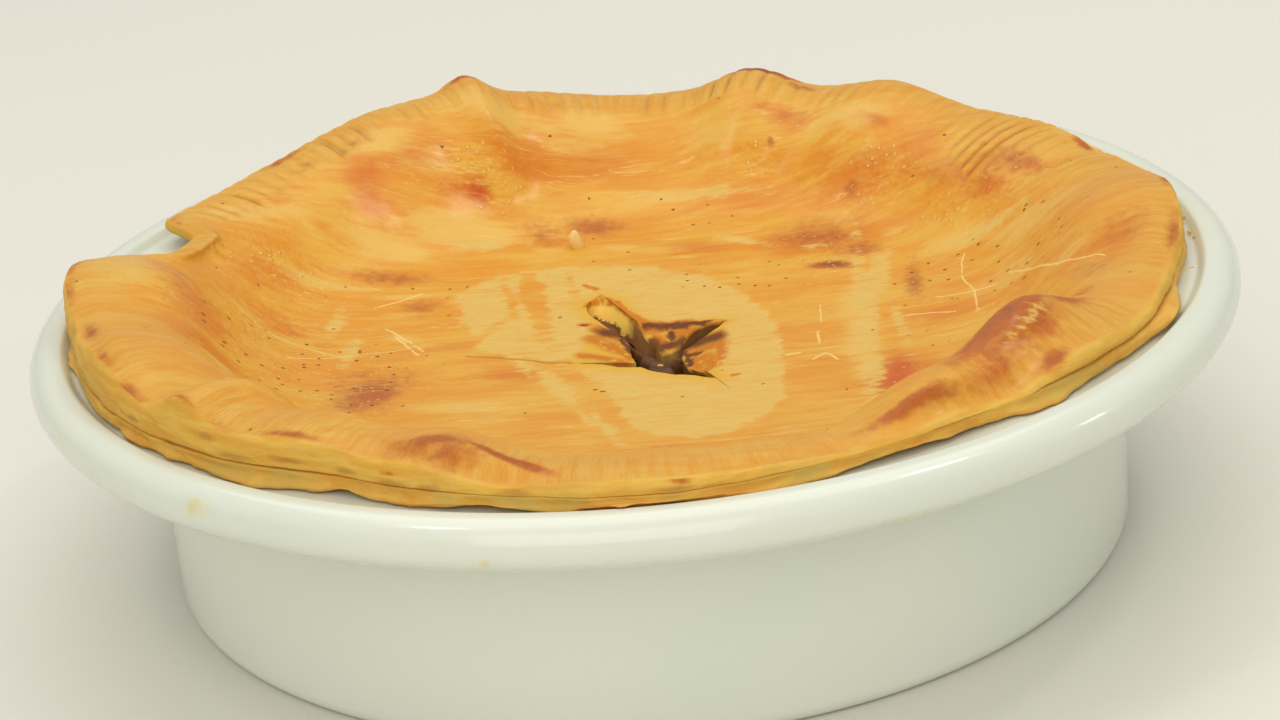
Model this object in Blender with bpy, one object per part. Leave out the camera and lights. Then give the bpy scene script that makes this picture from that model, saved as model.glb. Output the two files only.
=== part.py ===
"""Kidney pie in its own round white dish.

Four pieces in one frame, +Z up, metres, with the origin under the middle of the dish:
the dish, the filling that shows in the vent, the collar of pastry on the dish's flange,
and the pastry lid with its uneven rim, its hollow and the star-shaped vent cut.

A pastry piece is spun from a plain profile in nominal coordinates: a nominal radius, the
angle round the dish, and a height that runs from 0 on its underside to 1 on its top. The
functions below then say where each nominal point lies on the real, uneven pie.
Angles are in degrees, anticlockwise seen from above, with 270 at the front.
"""

import math

import bmesh
import bpy
from mathutils import Vector, noise

MM = 0.001
GAP = 0.3 * MM

# Dish
LIP_RADIUS = 140.0 * MM
DISH_HEIGHT = 64.0 * MM
BODY_RADIUS = 112.8 * MM
INNER_RADIUS = 106.5 * MM
FLOOR_TOP = 6.5 * MM
FOOT_OUTER = 108.8 * MM
FOOT_INNER = 98.0 * MM
FOOT_RECESS = 1.5 * MM
LIP_ROUND = 5.7 * MM
LIP_UNDERSIDE = 52.6 * MM
FLANGE_Z = 61.8 * MM
BEAD_INNER = 131.0 * MM
INNER_CORNER = 3.0 * MM
FLOOR_CORNER = 8.0 * MM

# Pastry
EDGE = 128.0 * MM
CREST = 120.0 * MM
SHOULDER = 126.8 * MM
SHOULDER_DROP = 1.0 * MM
EDGE_ROUND = 1.2 * MM
COLLAR_INNER = 118.0 * MM
COLLAR_THICK = 3.2 * MM
COLLAR_WAVE = 0.4 * MM
COLLAR_LAP = 0.6 * MM
LID_THICK = 5.0 * MM
BOWL_Z = 45.8 * MM
BOWL_RISE = 3.0 * MM
WALL_RADIUS = 98.0 * MM
WALL_WIDTH = 6.5 * MM
RIM_Z = 68.0 * MM
HUB_RADIUS = 45.0 * MM
HOLE_NOMINAL = 10.0 * MM
CRIMPS = 168
CRIMP_DEPTH = 0.9 * MM
CRIMP_START = 112.0 * MM
BEND_FROM = 104.0 * MM
BEND_TO = 124.0 * MM
LID_UNEVEN = 0.55 * MM
LID_WAVES_PER_METRE = 32.0

# Filling
FILL_GAP = 0.6 * MM
FILL_LEVEL = 48.5 * MM
FILL_MIDDLE = 35.0 * MM
FILL_SUNK_RADIUS = 20.0 * MM
FILL_LUMPS = 1.3 * MM
FILL_LUMPS_PER_METRE = 95.0

# Swells and dips of the rim's crest: angle, half-width in degrees, rise
RIM_SWELLS = (
    (0.0, 11.0, 6.0 * MM),
    (31.0, 8.0, 1.6 * MM),
    (23.0, 3.0, -1.4 * MM),
    (55.0, 8.0, 5.2 * MM),
    (71.5, 6.0, 5.8 * MM),
    (116.0, 18.0, 9.0 * MM),
    (108.0, 3.2, 5.4 * MM),
    (100.0, 6.0, 1.2 * MM),
    (153.0, 6.0, 1.5 * MM),
    (178.0, 11.0, 9.8 * MM),
    (203.0, 13.0, 10.4 * MM),
    (221.0, 4.0, 7.5 * MM),
    (234.0, 11.0, 6.2 * MM),
    (249.5, 6.5, 5.4 * MM),
    (266.0, 14.0, 1.8 * MM),
    (300.0, 6.5, 5.0 * MM),
    (317.0, 9.0, 2.4 * MM),
    (336.0, 8.0, 1.5 * MM),
)

# Where the rim's top leans outward from its crest: angle, half-width in degrees, drop
RIM_LEANS = (
    (200.0, 12.0, 1.5 * MM),
    (252.0, 7.5, 3.0 * MM),
    (302.0, 8.0, 4.6 * MM),
)

# Bays and lobes of the pastry's outline: angle, half-width in degrees, reach
OUTLINE_WAVES = (
    (271.0, 11.0, 3.0 * MM),
    (302.0, 13.0, -2.2 * MM),
    (239.0, 9.0, -2.8 * MM),
    (205.0, 16.0, 1.6 * MM),
    (179.0, 8.0, 3.0 * MM),
    (342.0, 8.0, -1.6 * MM),
    (110.0, 12.0, -1.5 * MM),
)
CORNER_FOLD = (334.0, 5.0, 3.4 * MM)

# Notch where the pastry has drawn back from the lip at the left
NOTCH_FROM = 155.0
NOTCH_TO = 168.5
NOTCH_EASE = 3.0
NOTCH_DEPTH = 13.0 * MM

# The collar stops short of the notch on both sides
COLLAR_STEP = 360.0 / 84
COLLAR_FROM = 41 * COLLAR_STEP
COLLAR_STEPS = 77

# Blisters and folds of the lid: angle, radius, half-width in degrees, half-width across, rise
LID_SWELLS = (
    (317.0, 110.0 * MM, 11.0, 9.0 * MM, 10.0 * MM),
    (238.0, 107.0 * MM, 16.0, 7.0 * MM, 2.0 * MM),
    (40.0, 96.0 * MM, 9.0, 9.0 * MM, 1.6 * MM),
    (118.0, 92.0 * MM, 8.0, 8.0 * MM, 1.4 * MM),
    (222.0, 78.0 * MM, 9.0, 9.0 * MM, 1.2 * MM),
)

# Vent: four cuts that meet near its middle, seen from above
VENT_CENTRE = Vector((4.0, -7.0)) * MM
VENT_OUTLINE = [
    Vector(point) * MM
    for point in (
        (21.3, 9.5),
        (12.5, 11.5),
        (6.0, 11.5),
        (1.0, 20.0),
        (-6.0, 32.5),
        (-11.0, 31.0),
        (-8.0, 18.0),
        (-3.6, 7.5),
        (0.5, -3.5),
        (-6.0, -6.4),
        (-15.2, -7.4),
        (0.7, -14.8),
        (9.0, -20.5),
        (18.0, -24.5),
        (12.5, -14.0),
        (9.5, -3.0),
    )
]
# Flaps that sag into the vent: tip, reach of the sag, depth at the tip
VENT_FLAPS = (
    (Vector((0.5, -3.5)) * MM, 17.0 * MM, 3.6 * MM),
    (Vector((9.5, -3.0)) * MM, 15.0 * MM, 2.6 * MM),
    (Vector((8.0, 11.5)) * MM, 9.0 * MM, 1.4 * MM),
)
# The back flap hangs: direction from the vent's middle, half-width, lean and extra depth
BACK_FLAP = (75.0, 30.0, 3.6 * MM, 2.6 * MM)
BACK_FLAP_REACH = 8.0 * MM


def bump(angle, centre, width):
    """A soft bump of height 1 round the dish, centred at an angle."""
    away = (angle - centre + 180.0) % 360.0 - 180.0
    return math.exp(-((away / width) ** 2))


def ease(low, high, value):
    """0 below low, 1 above high, and a smooth step between them."""
    share = min(max((value - low) / (high - low), 0.0), 1.0)
    return share * share * (3.0 - 2.0 * share)


def rim_height(angle):
    """Height of the rim's crest at an angle."""
    return RIM_Z + sum(rise * bump(angle, at, width) for at, width, rise in RIM_SWELLS)


def outline(angle):
    """Radius of the pastry's edge at an angle, with the notch."""
    radius = EDGE + sum(reach * bump(angle, at, width) for at, width, reach in OUTLINE_WAVES)
    open_side = ease(NOTCH_FROM - NOTCH_EASE, NOTCH_FROM + NOTCH_EASE, angle)
    close_side = 1.0 - ease(NOTCH_TO - NOTCH_EASE, NOTCH_TO + NOTCH_EASE, angle)
    return radius - NOTCH_DEPTH * open_side * close_side


def real_radius(nominal, angle):
    """Radius on the uneven pie of a nominal radius."""
    return nominal + (outline(angle) - EDGE) * ease(BEND_FROM, BEND_TO, nominal)


def bowl_height(nominal, angle):
    """Top of the lid without its small swells: a shallow bowl that climbs to the rim."""
    bowl = BOWL_Z + BOWL_RISE * (nominal / (100.0 * MM)) ** 2
    climb = 1.0 / (1.0 + math.exp(-(nominal - WALL_RADIUS) / WALL_WIDTH))
    lean = SHOULDER_DROP + sum(drop * bump(angle, at, width) for at, width, drop in RIM_LEANS)
    over = max(0.0, (nominal - SHOULDER) / (EDGE - SHOULDER))
    drop = lean * ease(CREST, SHOULDER, nominal) + EDGE_ROUND * over * over
    return bowl + (rim_height(angle) - bowl) * climb - drop


def crimp(nominal, angle):
    """Depth of the fork marks pressed into the rim."""
    mark = 0.5 + 0.5 * math.cos(math.radians(angle * CRIMPS))
    return CRIMP_DEPTH * mark * ease(CRIMP_START, CREST, nominal)


def swell(nominal, angle):
    """Blisters and folds of the lid, and its slight unevenness."""
    total = 0.0
    for at, radius, width, across, rise in LID_SWELLS:
        total += rise * bump(angle, at, width) * math.exp(-(((nominal - radius) / across) ** 2))
    turn = math.radians(angle)
    place = Vector((math.cos(turn), math.sin(turn), 0.0)) * nominal * LID_WAVES_PER_METRE
    return total + LID_UNEVEN * noise.noise(place)


def vent_sag(point):
    """How far the lid sags into the vent at a point."""
    sag = 0.0
    for tip, reach, depth in VENT_FLAPS:
        near = max(0.0, 1.0 - (point - tip).length / reach)
        sag = max(sag, depth * near * near)
    return sag


def collar_top(angle):
    """Top of the collar's outer part at an angle."""
    wave = math.sin(math.radians(5.0 * angle)) + math.sin(math.radians(3.0 * angle + 40.0))
    return FLANGE_Z + GAP + COLLAR_THICK + 0.5 * COLLAR_WAVE * wave


def lid_underside(nominal, angle):
    """Underside of the lid: it rests on the collar and hangs free inside the dish."""
    if nominal > COLLAR_INNER - 1.5 * MM:
        return collar_top(angle) + GAP
    free = bowl_height(nominal, angle) - LID_THICK
    if nominal < INNER_RADIUS - 1.0 * MM:
        return free
    corner = INNER_RADIUS + INNER_CORNER - 0.5 * MM
    lowest = FLANGE_Z + 0.5 * MM - 0.57 * max(0.0, corner - nominal)
    return max(lowest, free)


def crossing(direction):
    """Distance from the vent's middle to its edge along a direction."""
    count = len(VENT_OUTLINE)
    for index in range(count):
        start = VENT_OUTLINE[index] - VENT_CENTRE
        side = VENT_OUTLINE[(index + 1) % count] - VENT_CENTRE - start
        turn = direction.x * side.y - direction.y * side.x
        if abs(turn) < 1e-12:
            continue
        reach = (start.x * side.y - start.y * side.x) / turn
        share = (start.x * direction.y - start.y * direction.x) / turn
        if reach > 0.0 and -1e-6 <= share <= 1.0 + 1e-6:
            return reach
    raise ValueError("the vent's outline is open")


def vent_angle(angle, step):
    """Turns a spoke onto the nearest corner of the vent, so that no cut's tip is lost."""
    stops = []
    for point in VENT_OUTLINE:
        away = point - VENT_CENTRE
        true = math.degrees(math.atan2(away.y, away.x)) % 360.0
        stops.append((round(true / step) * step, true))
    stops.sort()
    stops.insert(0, (stops[-1][0] - 360.0, stops[-1][1] - 360.0))
    stops.append((stops[1][0] + 360.0, stops[1][1] + 360.0))
    for (low, low_true), (high, high_true) in zip(stops, stops[1:]):
        if low <= angle <= high and high > low:
            return low_true + (high_true - low_true) * (angle - low) / (high - low)
    return angle


def spun(profile, steps, start=0.0, sweep=360.0, closed=False):
    """A mesh turned from a profile of (radius, height) points about +Z."""
    bm = bmesh.new()
    turn = math.radians(start)
    verts = [
        bm.verts.new((radius * math.cos(turn), radius * math.sin(turn), height))
        for radius, height in profile
    ]
    pairs = list(zip(verts, verts[1:]))
    if closed:
        pairs.append((verts[-1], verts[0]))
    edges = [bm.edges.new(pair) for pair in pairs]
    bmesh.ops.spin(
        bm,
        geom=verts + edges,
        cent=(0.0, 0.0, 0.0),
        axis=(0.0, 0.0, 1.0),
        angle=math.radians(sweep),
        steps=steps,
        use_merge=sweep >= 360.0,
        use_duplicate=False,
    )
    bmesh.ops.remove_doubles(bm, verts=bm.verts, dist=1e-6)
    return bm


def arc(centre, radius, first, last, count):
    """Points of an arc in the profile's plane, angles in degrees."""
    points = []
    for index in range(count + 1):
        turn = math.radians(first + (last - first) * index / count)
        points.append((centre[0] + radius * math.cos(turn), centre[1] + radius * math.sin(turn)))
    return points


def polar(point):
    """Nominal radius and angle in degrees of a spun vertex."""
    return math.hypot(point.x, point.y), math.degrees(math.atan2(point.y, point.x)) % 360.0


def material(name, colour, roughness):
    """A plain finish for one piece."""
    made = bpy.data.materials.new(name)
    made.use_nodes = True
    shader = made.node_tree.nodes["Principled BSDF"]
    shader.inputs["Base Color"].default_value = (*colour, 1.0)
    shader.inputs["Roughness"].default_value = roughness
    shader.inputs["Metallic"].default_value = 0.0
    return made


def finished(bm, name, colour, roughness, sharp=50.0):
    """Closes a bmesh into a named object with outward faces and smooth shading."""
    bmesh.ops.recalc_face_normals(bm, faces=bm.faces)
    if bm.calc_volume(signed=True) < 0.0:
        bmesh.ops.reverse_faces(bm, faces=bm.faces)
    mesh = bpy.data.meshes.new(name)
    bm.to_mesh(mesh)
    bm.free()
    mesh.shade_smooth()
    mesh.set_sharp_from_angle(angle=math.radians(sharp))
    mesh.materials.append(material(name, colour, roughness))
    made = bpy.data.objects.new(name, mesh)
    bpy.context.scene.collection.objects.link(made)
    return made


def dish():
    """The dish: foot ring, straight wall, flat flange and a rounded bead at the lip."""
    lip_centre = (LIP_RADIUS - LIP_ROUND, DISH_HEIGHT - LIP_ROUND)
    foot_corner = BODY_RADIUS - FOOT_OUTER
    neck = 4.0 * MM
    profile = [(0.0, FOOT_RECESS), (FOOT_INNER - FOOT_RECESS, FOOT_RECESS), (FOOT_INNER, 0.0)]
    profile += arc((FOOT_OUTER, foot_corner), foot_corner, -90.0, 0.0, 2)
    profile += arc((BODY_RADIUS + neck, LIP_UNDERSIDE - neck - MM), neck, 180.0, 95.0, 2)
    profile += arc(lip_centre, LIP_ROUND, -90.0, 0.0, 3) + arc(lip_centre, LIP_ROUND, 0.0, 90.0, 3)[1:]
    profile += [(BEAD_INNER + 1.2 * MM, FLANGE_Z + 1.1 * MM), (BEAD_INNER, FLANGE_Z)]
    inner = (INNER_RADIUS + INNER_CORNER, FLANGE_Z - INNER_CORNER)
    profile += arc(inner, INNER_CORNER, 90.0, 180.0, 3)
    floor = (INNER_RADIUS - FLOOR_CORNER, FLOOR_TOP + FLOOR_CORNER)
    profile += arc(floor, FLOOR_CORNER, 0.0, -90.0, 3)
    profile.append((0.0, FLOOR_TOP))
    return finished(spun(profile, 72), "dish", (0.80, 0.81, 0.76), 0.16, 40.0)


def filling():
    """The filling: it fills the dish up to the lid and lies in lumps under the vent."""
    radii = [0.0, 9.0, 18.0, 27.0, 36.0, 46.0, 60.0, 76.0, 88.0, 97.0]
    edge = INNER_RADIUS - GAP
    corner = FLOOR_CORNER - GAP
    profile = [(radius * MM, 1.0) for radius in radii] + [(edge, 1.0)]
    bottom = arc((INNER_RADIUS - FLOOR_CORNER, FLOOR_TOP + FLOOR_CORNER), corner, 0.0, -90.0, 3)
    profile += [(radius, height) for radius, height in bottom] + [(0.0, FLOOR_TOP + GAP)]
    bm = spun(profile, 48)
    for vert in bm.verts:
        if vert.co.z < 0.9:
            continue
        radius, angle = polar(vert.co)
        under = bowl_height(radius, angle) - LID_THICK - FILL_GAP
        settled = ease(FILL_SUNK_RADIUS, HUB_RADIUS, radius)
        place = Vector((vert.co.x, vert.co.y, 0.02)) * FILL_LUMPS_PER_METRE
        sunk = FILL_MIDDLE + FILL_LUMPS * noise.noise(place)
        vert.co.z = min(sunk + (under - sunk) * settled, FILL_LEVEL)
    return finished(bm, "filling", (0.13, 0.045, 0.02), 0.35)


def collar():
    """The lower strip of pastry that lies on the dish's flange."""
    profile = [(COLLAR_INNER, 0.0), (EDGE - 1.2 * MM, 0.0), (EDGE, 0.4)]
    profile += [(EDGE - 0.3 * MM, 0.8), (EDGE - 1.5 * MM, 1.0), (COLLAR_INNER, 0.7)]
    sweep = COLLAR_STEP * COLLAR_STEPS
    bm = spun(profile, COLLAR_STEPS, COLLAR_FROM, sweep, closed=True)
    for vert in bm.verts:
        nominal, angle = polar(vert.co)
        outer = ease(COLLAR_INNER, EDGE, nominal)
        fold = CORNER_FOLD[2] * bump(angle, CORNER_FOLD[0], CORNER_FOLD[1])
        radius = real_radius(nominal, angle) + (COLLAR_LAP + fold) * outer
        radius = min(radius, BEAD_INNER - 0.4 * MM) if vert.co.z == 0.0 else radius
        foot = FLANGE_Z + GAP
        height = foot + (collar_top(angle) - foot) * vert.co.z
        turn = math.radians(angle)
        vert.co = (radius * math.cos(turn), radius * math.sin(turn), height)
    bmesh.ops.holes_fill(bm, edges=[edge for edge in bm.edges if edge.is_boundary])
    return finished(bm, "pastry_collar", (0.66, 0.33, 0.085), 0.6)


def lid_point(nominal, angle, share, step):
    """Place on the real lid of a nominal point, share 0 on the underside and 1 on top."""
    turn = math.radians(angle)
    spoke = Vector((math.cos(turn), math.sin(turn)))
    if nominal >= HUB_RADIUS:
        flat = spoke * real_radius(nominal, angle)
    else:
        out = (nominal - HOLE_NOMINAL) / (HUB_RADIUS - HOLE_NOMINAL)
        cut = math.radians(vent_angle(angle, step))
        ray = Vector((math.cos(cut), math.sin(cut)))
        edge = VENT_CENTRE + ray * crossing(ray)
        if out <= 0.0 and share <= 0.0:
            hang = BACK_FLAP[2] * bump(math.degrees(cut), BACK_FLAP[0], BACK_FLAP[1])
            edge -= ray * hang
        flat = edge.lerp(spoke * HUB_RADIUS, out)
    sag = vent_sag(flat)
    low = lid_underside(nominal, angle) - sag
    if nominal < HUB_RADIUS:
        near = max(0.0, 1.0 - (nominal - HOLE_NOMINAL) / BACK_FLAP_REACH)
        low -= near * BACK_FLAP[3] * bump(angle, BACK_FLAP[0], BACK_FLAP[1])
    high = bowl_height(nominal, angle) + swell(nominal, angle) - crimp(nominal, angle) - sag
    return Vector((flat.x, flat.y, low + (high - low) * share))


def lid():
    """The lid: a bowl with the vent in its middle, and a finely crimped rim."""
    coarse = CRIMPS // 2
    rim = [(113.0, 1.0), (118.5, 1.0), (123.5, 1.0), (126.8, 1.0), (128.0, 0.5), (127.2, 0.0)]
    bowl_top = [10.0, 14.5, 23.0, 34.0, 45.0, 60.0, 75.0, 87.0, 96.0, 103.5]
    underside = [117.0, 114.0, 109.5, 106.0, 100.0, 88.0, 70.0, 45.0, 23.0, 10.0]
    profile = [(radius * MM, 1.0) for radius in bowl_top]
    profile += [(radius * MM, height) for radius, height in rim]
    profile += [(radius * MM, 0.0) for radius in underside]
    bm = spun(profile, coarse, closed=True)
    rings = {radius * MM for radius, height in rim}
    round_edges = []
    for edge in bm.edges:
        near, far = (polar(vert.co)[0] for vert in edge.verts)
        if abs(near - far) < 1e-6 and any(abs(near - radius) < 1e-6 for radius in rings):
            round_edges.append(edge)
    bmesh.ops.subdivide_edges(bm, edges=round_edges, cuts=3, use_grid_fill=True)
    for vert in bm.verts:
        radius, angle = polar(vert.co)
        nominal = min((point[0] for point in profile), key=lambda size: abs(size - radius))
        vert.co = lid_point(nominal, angle, vert.co.z, 360.0 / coarse)
    return finished(bm, "pastry_lid", (0.80, 0.42, 0.12), 0.45)


def main():
    """Clears the scene and makes the four pieces."""
    for thing in list(bpy.data.objects):
        bpy.data.objects.remove(thing)
    dish()
    filling()
    collar()
    lid()


main()
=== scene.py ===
"""Kidney pie in its own round white dish: its looks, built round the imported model.

The pieces stand in the model's own frame: metres, +Z up, the front at -Y, with the origin
under the middle of the dish. Angles are in degrees, anticlockwise seen from above, with 270
at the front. A pastry piece is spun from a profile in nominal coordinates: a nominal radius,
the angle round the dish, and a share of its thickness, 0 underneath and 1 on top.
"""

import functools
import math

import bmesh
import bpy
from mathutils import Matrix, Vector, noise


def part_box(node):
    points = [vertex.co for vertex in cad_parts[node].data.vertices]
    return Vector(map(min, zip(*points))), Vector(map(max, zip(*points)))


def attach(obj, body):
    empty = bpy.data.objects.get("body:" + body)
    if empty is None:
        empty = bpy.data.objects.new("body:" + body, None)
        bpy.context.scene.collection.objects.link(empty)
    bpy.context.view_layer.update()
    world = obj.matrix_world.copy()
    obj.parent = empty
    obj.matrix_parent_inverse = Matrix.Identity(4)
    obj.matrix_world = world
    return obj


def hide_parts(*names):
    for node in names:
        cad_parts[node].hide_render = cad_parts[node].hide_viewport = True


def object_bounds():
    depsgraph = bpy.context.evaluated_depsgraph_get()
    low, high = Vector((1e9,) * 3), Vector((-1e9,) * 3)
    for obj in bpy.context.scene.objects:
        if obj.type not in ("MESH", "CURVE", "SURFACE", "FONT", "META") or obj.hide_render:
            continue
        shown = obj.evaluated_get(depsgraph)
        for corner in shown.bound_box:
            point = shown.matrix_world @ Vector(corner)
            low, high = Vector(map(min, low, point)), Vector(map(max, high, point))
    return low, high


bl_info = {
    "name": "Kidney pie",
    "version": (1, 0, 0),
    "blender": (4, 5, 0),
    "location": "3D View > Sidebar > Pie",
    "description": "Builds a kidney pie in its own round dish",
    "category": "Object",
}

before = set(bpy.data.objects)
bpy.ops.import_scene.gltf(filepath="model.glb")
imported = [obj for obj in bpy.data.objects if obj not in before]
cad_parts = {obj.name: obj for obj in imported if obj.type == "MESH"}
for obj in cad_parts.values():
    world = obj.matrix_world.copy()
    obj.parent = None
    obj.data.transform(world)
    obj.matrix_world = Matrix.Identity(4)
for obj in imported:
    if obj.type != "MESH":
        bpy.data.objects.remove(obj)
CAD_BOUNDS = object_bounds()

MM = 0.001
GAP = 0.3 * MM
TALLEST = CAD_BOUNDS[1].z

# Dish
LIP_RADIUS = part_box("dish")[1].x
DISH_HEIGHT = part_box("dish")[1].z
BODY_RADIUS = 112.8 * MM
INNER_RADIUS = 106.5 * MM
FLOOR_TOP = 6.5 * MM
FOOT_OUTER = 108.8 * MM
FOOT_INNER = 98.0 * MM
FOOT_RECESS = 1.5 * MM
LIP_ROUND = 5.7 * MM
LIP_UNDERSIDE = 52.6 * MM
NECK_ROUND = 4.0 * MM
FLANGE_Z = 61.8 * MM
BEAD_INNER = 131.0 * MM
BEAD_ROUND = 1.6 * MM
BEAD_FILLET = 1.5 * MM
INNER_CORNER = 3.0 * MM
FLOOR_CORNER = 8.0 * MM

# Pastry
EDGE = 128.0 * MM
CREST = 120.0 * MM
SHOULDER = 126.8 * MM
SHOULDER_DROP = 1.0 * MM
EDGE_ROUND = 1.2 * MM
COLLAR_INNER = 118.0 * MM
COLLAR_THICK = 3.2 * MM
COLLAR_WAVE = 0.4 * MM
COLLAR_LAP = 0.6 * MM
COLLAR_REACH = 134.5 * MM
COLLAR_FREE = 121.0 * MM
BEAD_CLIMB = (129.6 * MM, 132.2 * MM)
LID_THICK = 5.0 * MM
BOWL_Z = 45.8 * MM
BOWL_RISE = 3.0 * MM
WALL_RADIUS = 98.0 * MM
WALL_WIDTH = 6.5 * MM
RIM_Z = 68.0 * MM
HUB_RADIUS = 45.0 * MM
HOLE_NOMINAL = 10.0 * MM
CORNER_ROOM = 0.5 * MM
CORNER_SLOPE = 0.57
CRIMP_START = 108.0 * MM
BEND_FROM = 104.0 * MM
BEND_TO = 124.0 * MM
LID_UNEVEN = 0.55 * MM
LID_WAVES_PER_METRE = 32.0
LID_DIMPLES = ((0.22 * MM, 110.0), (0.10 * MM, 330.0))
SIDE_UNEVEN = 0.50 * MM
SIDE_UNEVEN_FINE = 0.24 * MM
SIDE_WAVES_ROUND = 15.0
SIDE_WAVES_PER_METRE_UP = 200.0

# Filling
FILL_MIDDLE = 35.5 * MM
FILL_LEVEL = 48.5 * MM
FILL_GAP = 0.6 * MM
FILL_SUNK_RADIUS = 20.0 * MM
FILL_LUMPS = ((1.5 * MM, 170.0), (0.7 * MM, 420.0))

# Swells and dips of the rim's crest: angle, half-width in degrees, rise
RIM_SWELLS = (
    (0.0, 11.0, 6.0 * MM),
    (31.0, 8.0, 1.6 * MM),
    (23.0, 3.0, -1.4 * MM),
    (55.0, 8.0, 5.2 * MM),
    (72.5, 6.0, 6.8 * MM),
    (116.0, 18.0, 9.0 * MM),
    (108.0, 3.2, 5.4 * MM),
    (100.0, 6.0, 1.2 * MM),
    (153.0, 6.0, 1.5 * MM),
    (178.0, 11.0, 9.8 * MM),
    (203.0, 13.0, 10.4 * MM),
    (221.0, 4.0, 7.5 * MM),
    (234.0, 11.0, 6.2 * MM),
    (249.5, 6.5, 5.4 * MM),
    (266.0, 14.0, 1.8 * MM),
    (300.5, 6.2, 4.6 * MM),
    (291.0, 6.0, -1.4 * MM),
    (317.0, 9.0, 2.4 * MM),
    (336.0, 8.0, 1.5 * MM),
)

# Where the rim's top leans outward from its crest: angle, half-width in degrees, drop
RIM_LEANS = (
    (200.0, 12.0, 1.5 * MM),
    (252.0, 7.5, 3.0 * MM),
    (302.0, 8.0, 4.6 * MM),
)

# Bays and lobes of the pastry's outline: angle, half-width in degrees, reach
OUTLINE_WAVES = (
    (271.0, 11.0, 3.0 * MM),
    (302.0, 13.0, -2.2 * MM),
    (239.0, 9.0, -2.8 * MM),
    (205.0, 16.0, 1.6 * MM),
    (179.0, 8.0, 3.0 * MM),
    (342.0, 8.0, -1.6 * MM),
    (110.0, 12.0, -1.5 * MM),
)
CORNER_FOLD = (334.0, 5.0, 3.4 * MM)

# Notch where the pastry has drawn back from the lip at the left
NOTCH_FROM = 155.0
NOTCH_TO = 168.5
NOTCH_EASE = 2.4
NOTCH_DEPTH = 13.0 * MM

# The lower strip, or collar, stops short of the notch on both sides
COLLAR_STEP = 360.0 / 84
COLLAR_FROM = 41 * COLLAR_STEP
COLLAR_SWEEP = 77 * COLLAR_STEP

# Blisters and folds of the lid: angle, radius, half-width in degrees, half-width across, rise
LID_SWELLS = (
    (317.0, 110.0 * MM, 11.0, 9.0 * MM, 10.0 * MM),
    (238.0, 107.0 * MM, 16.0, 7.0 * MM, 2.0 * MM),
    (40.0, 96.0 * MM, 9.0, 9.0 * MM, 1.6 * MM),
    (118.0, 92.0 * MM, 8.0, 8.0 * MM, 1.4 * MM),
    (222.0, 78.0 * MM, 9.0, 9.0 * MM, 1.2 * MM),
    (112.0, 98.0 * MM, 2.6, 4.0 * MM, 1.0 * MM),
    (66.0, 99.0 * MM, 2.6, 4.0 * MM, 1.0 * MM),
    (27.0, 103.0 * MM, 3.0, 4.0 * MM, 0.9 * MM),
    (331.0, 66.0 * MM, 5.0, 5.0 * MM, 0.8 * MM),
    (196.0, 64.0 * MM, 8.0, 8.0 * MM, 0.7 * MM),
    (42.0, 62.0 * MM, 8.0, 6.0 * MM, 0.7 * MM),
)

# Fork marks in the rim: their number and depth, how strongly they were pressed round the dish
# (angle, half-width in degrees, strength), and the stretch where they run far down the wall
FORK_MARKS = 168
FORK_DEPTH = 0.85 * MM
FORK_PRESS = (
    (96.0, 34.0, 0.75),
    (62.0, 14.0, 0.60),
    (127.0, 9.0, 0.90),
    (144.0, 9.0, 0.90),
    (33.0, 8.0, 1.25),
    (18.0, 8.0, 0.40),
    (2.0, 10.0, 0.30),
    (183.0, 9.0, 0.18),
)
LONG_MARKS = (32.0, 8.0, 12.0 * MM)

# Side of the lid and lower strip: where a furrow parts them (angle, half-width in degrees, depth)
FURROWS = (
    (326.0, 15.0, 1.00),
    (350.0, 12.0, 0.55),
    (300.0, 6.0, 0.35),
    (205.0, 5.0, 0.35),
)
# Cracks in the side, drawn only as painted shade in the colour: angle, half-width in degrees, height,
# half-height
SIDE_CRACK_SHADES = (
    (245.8, 2.0, 66.6 * MM, 1.0 * MM),
    (228.2, 2.6, 67.2 * MM, 0.9 * MM),
    (234.1, 2.4, 68.2 * MM, 0.9 * MM),
    (224.6, 1.4, 70.0 * MM, 0.9 * MM),
    (240.6, 1.6, 67.6 * MM, 0.9 * MM),
    (249.5, 1.4, 66.4 * MM, 0.9 * MM),
    (213.0, 1.4, 67.8 * MM, 0.9 * MM),
    (258.0, 2.0, 66.4 * MM, 0.8 * MM),
    (272.0, 1.8, 66.4 * MM, 0.8 * MM),
    (219.0, 1.2, 66.0 * MM, 0.8 * MM),
)

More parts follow.
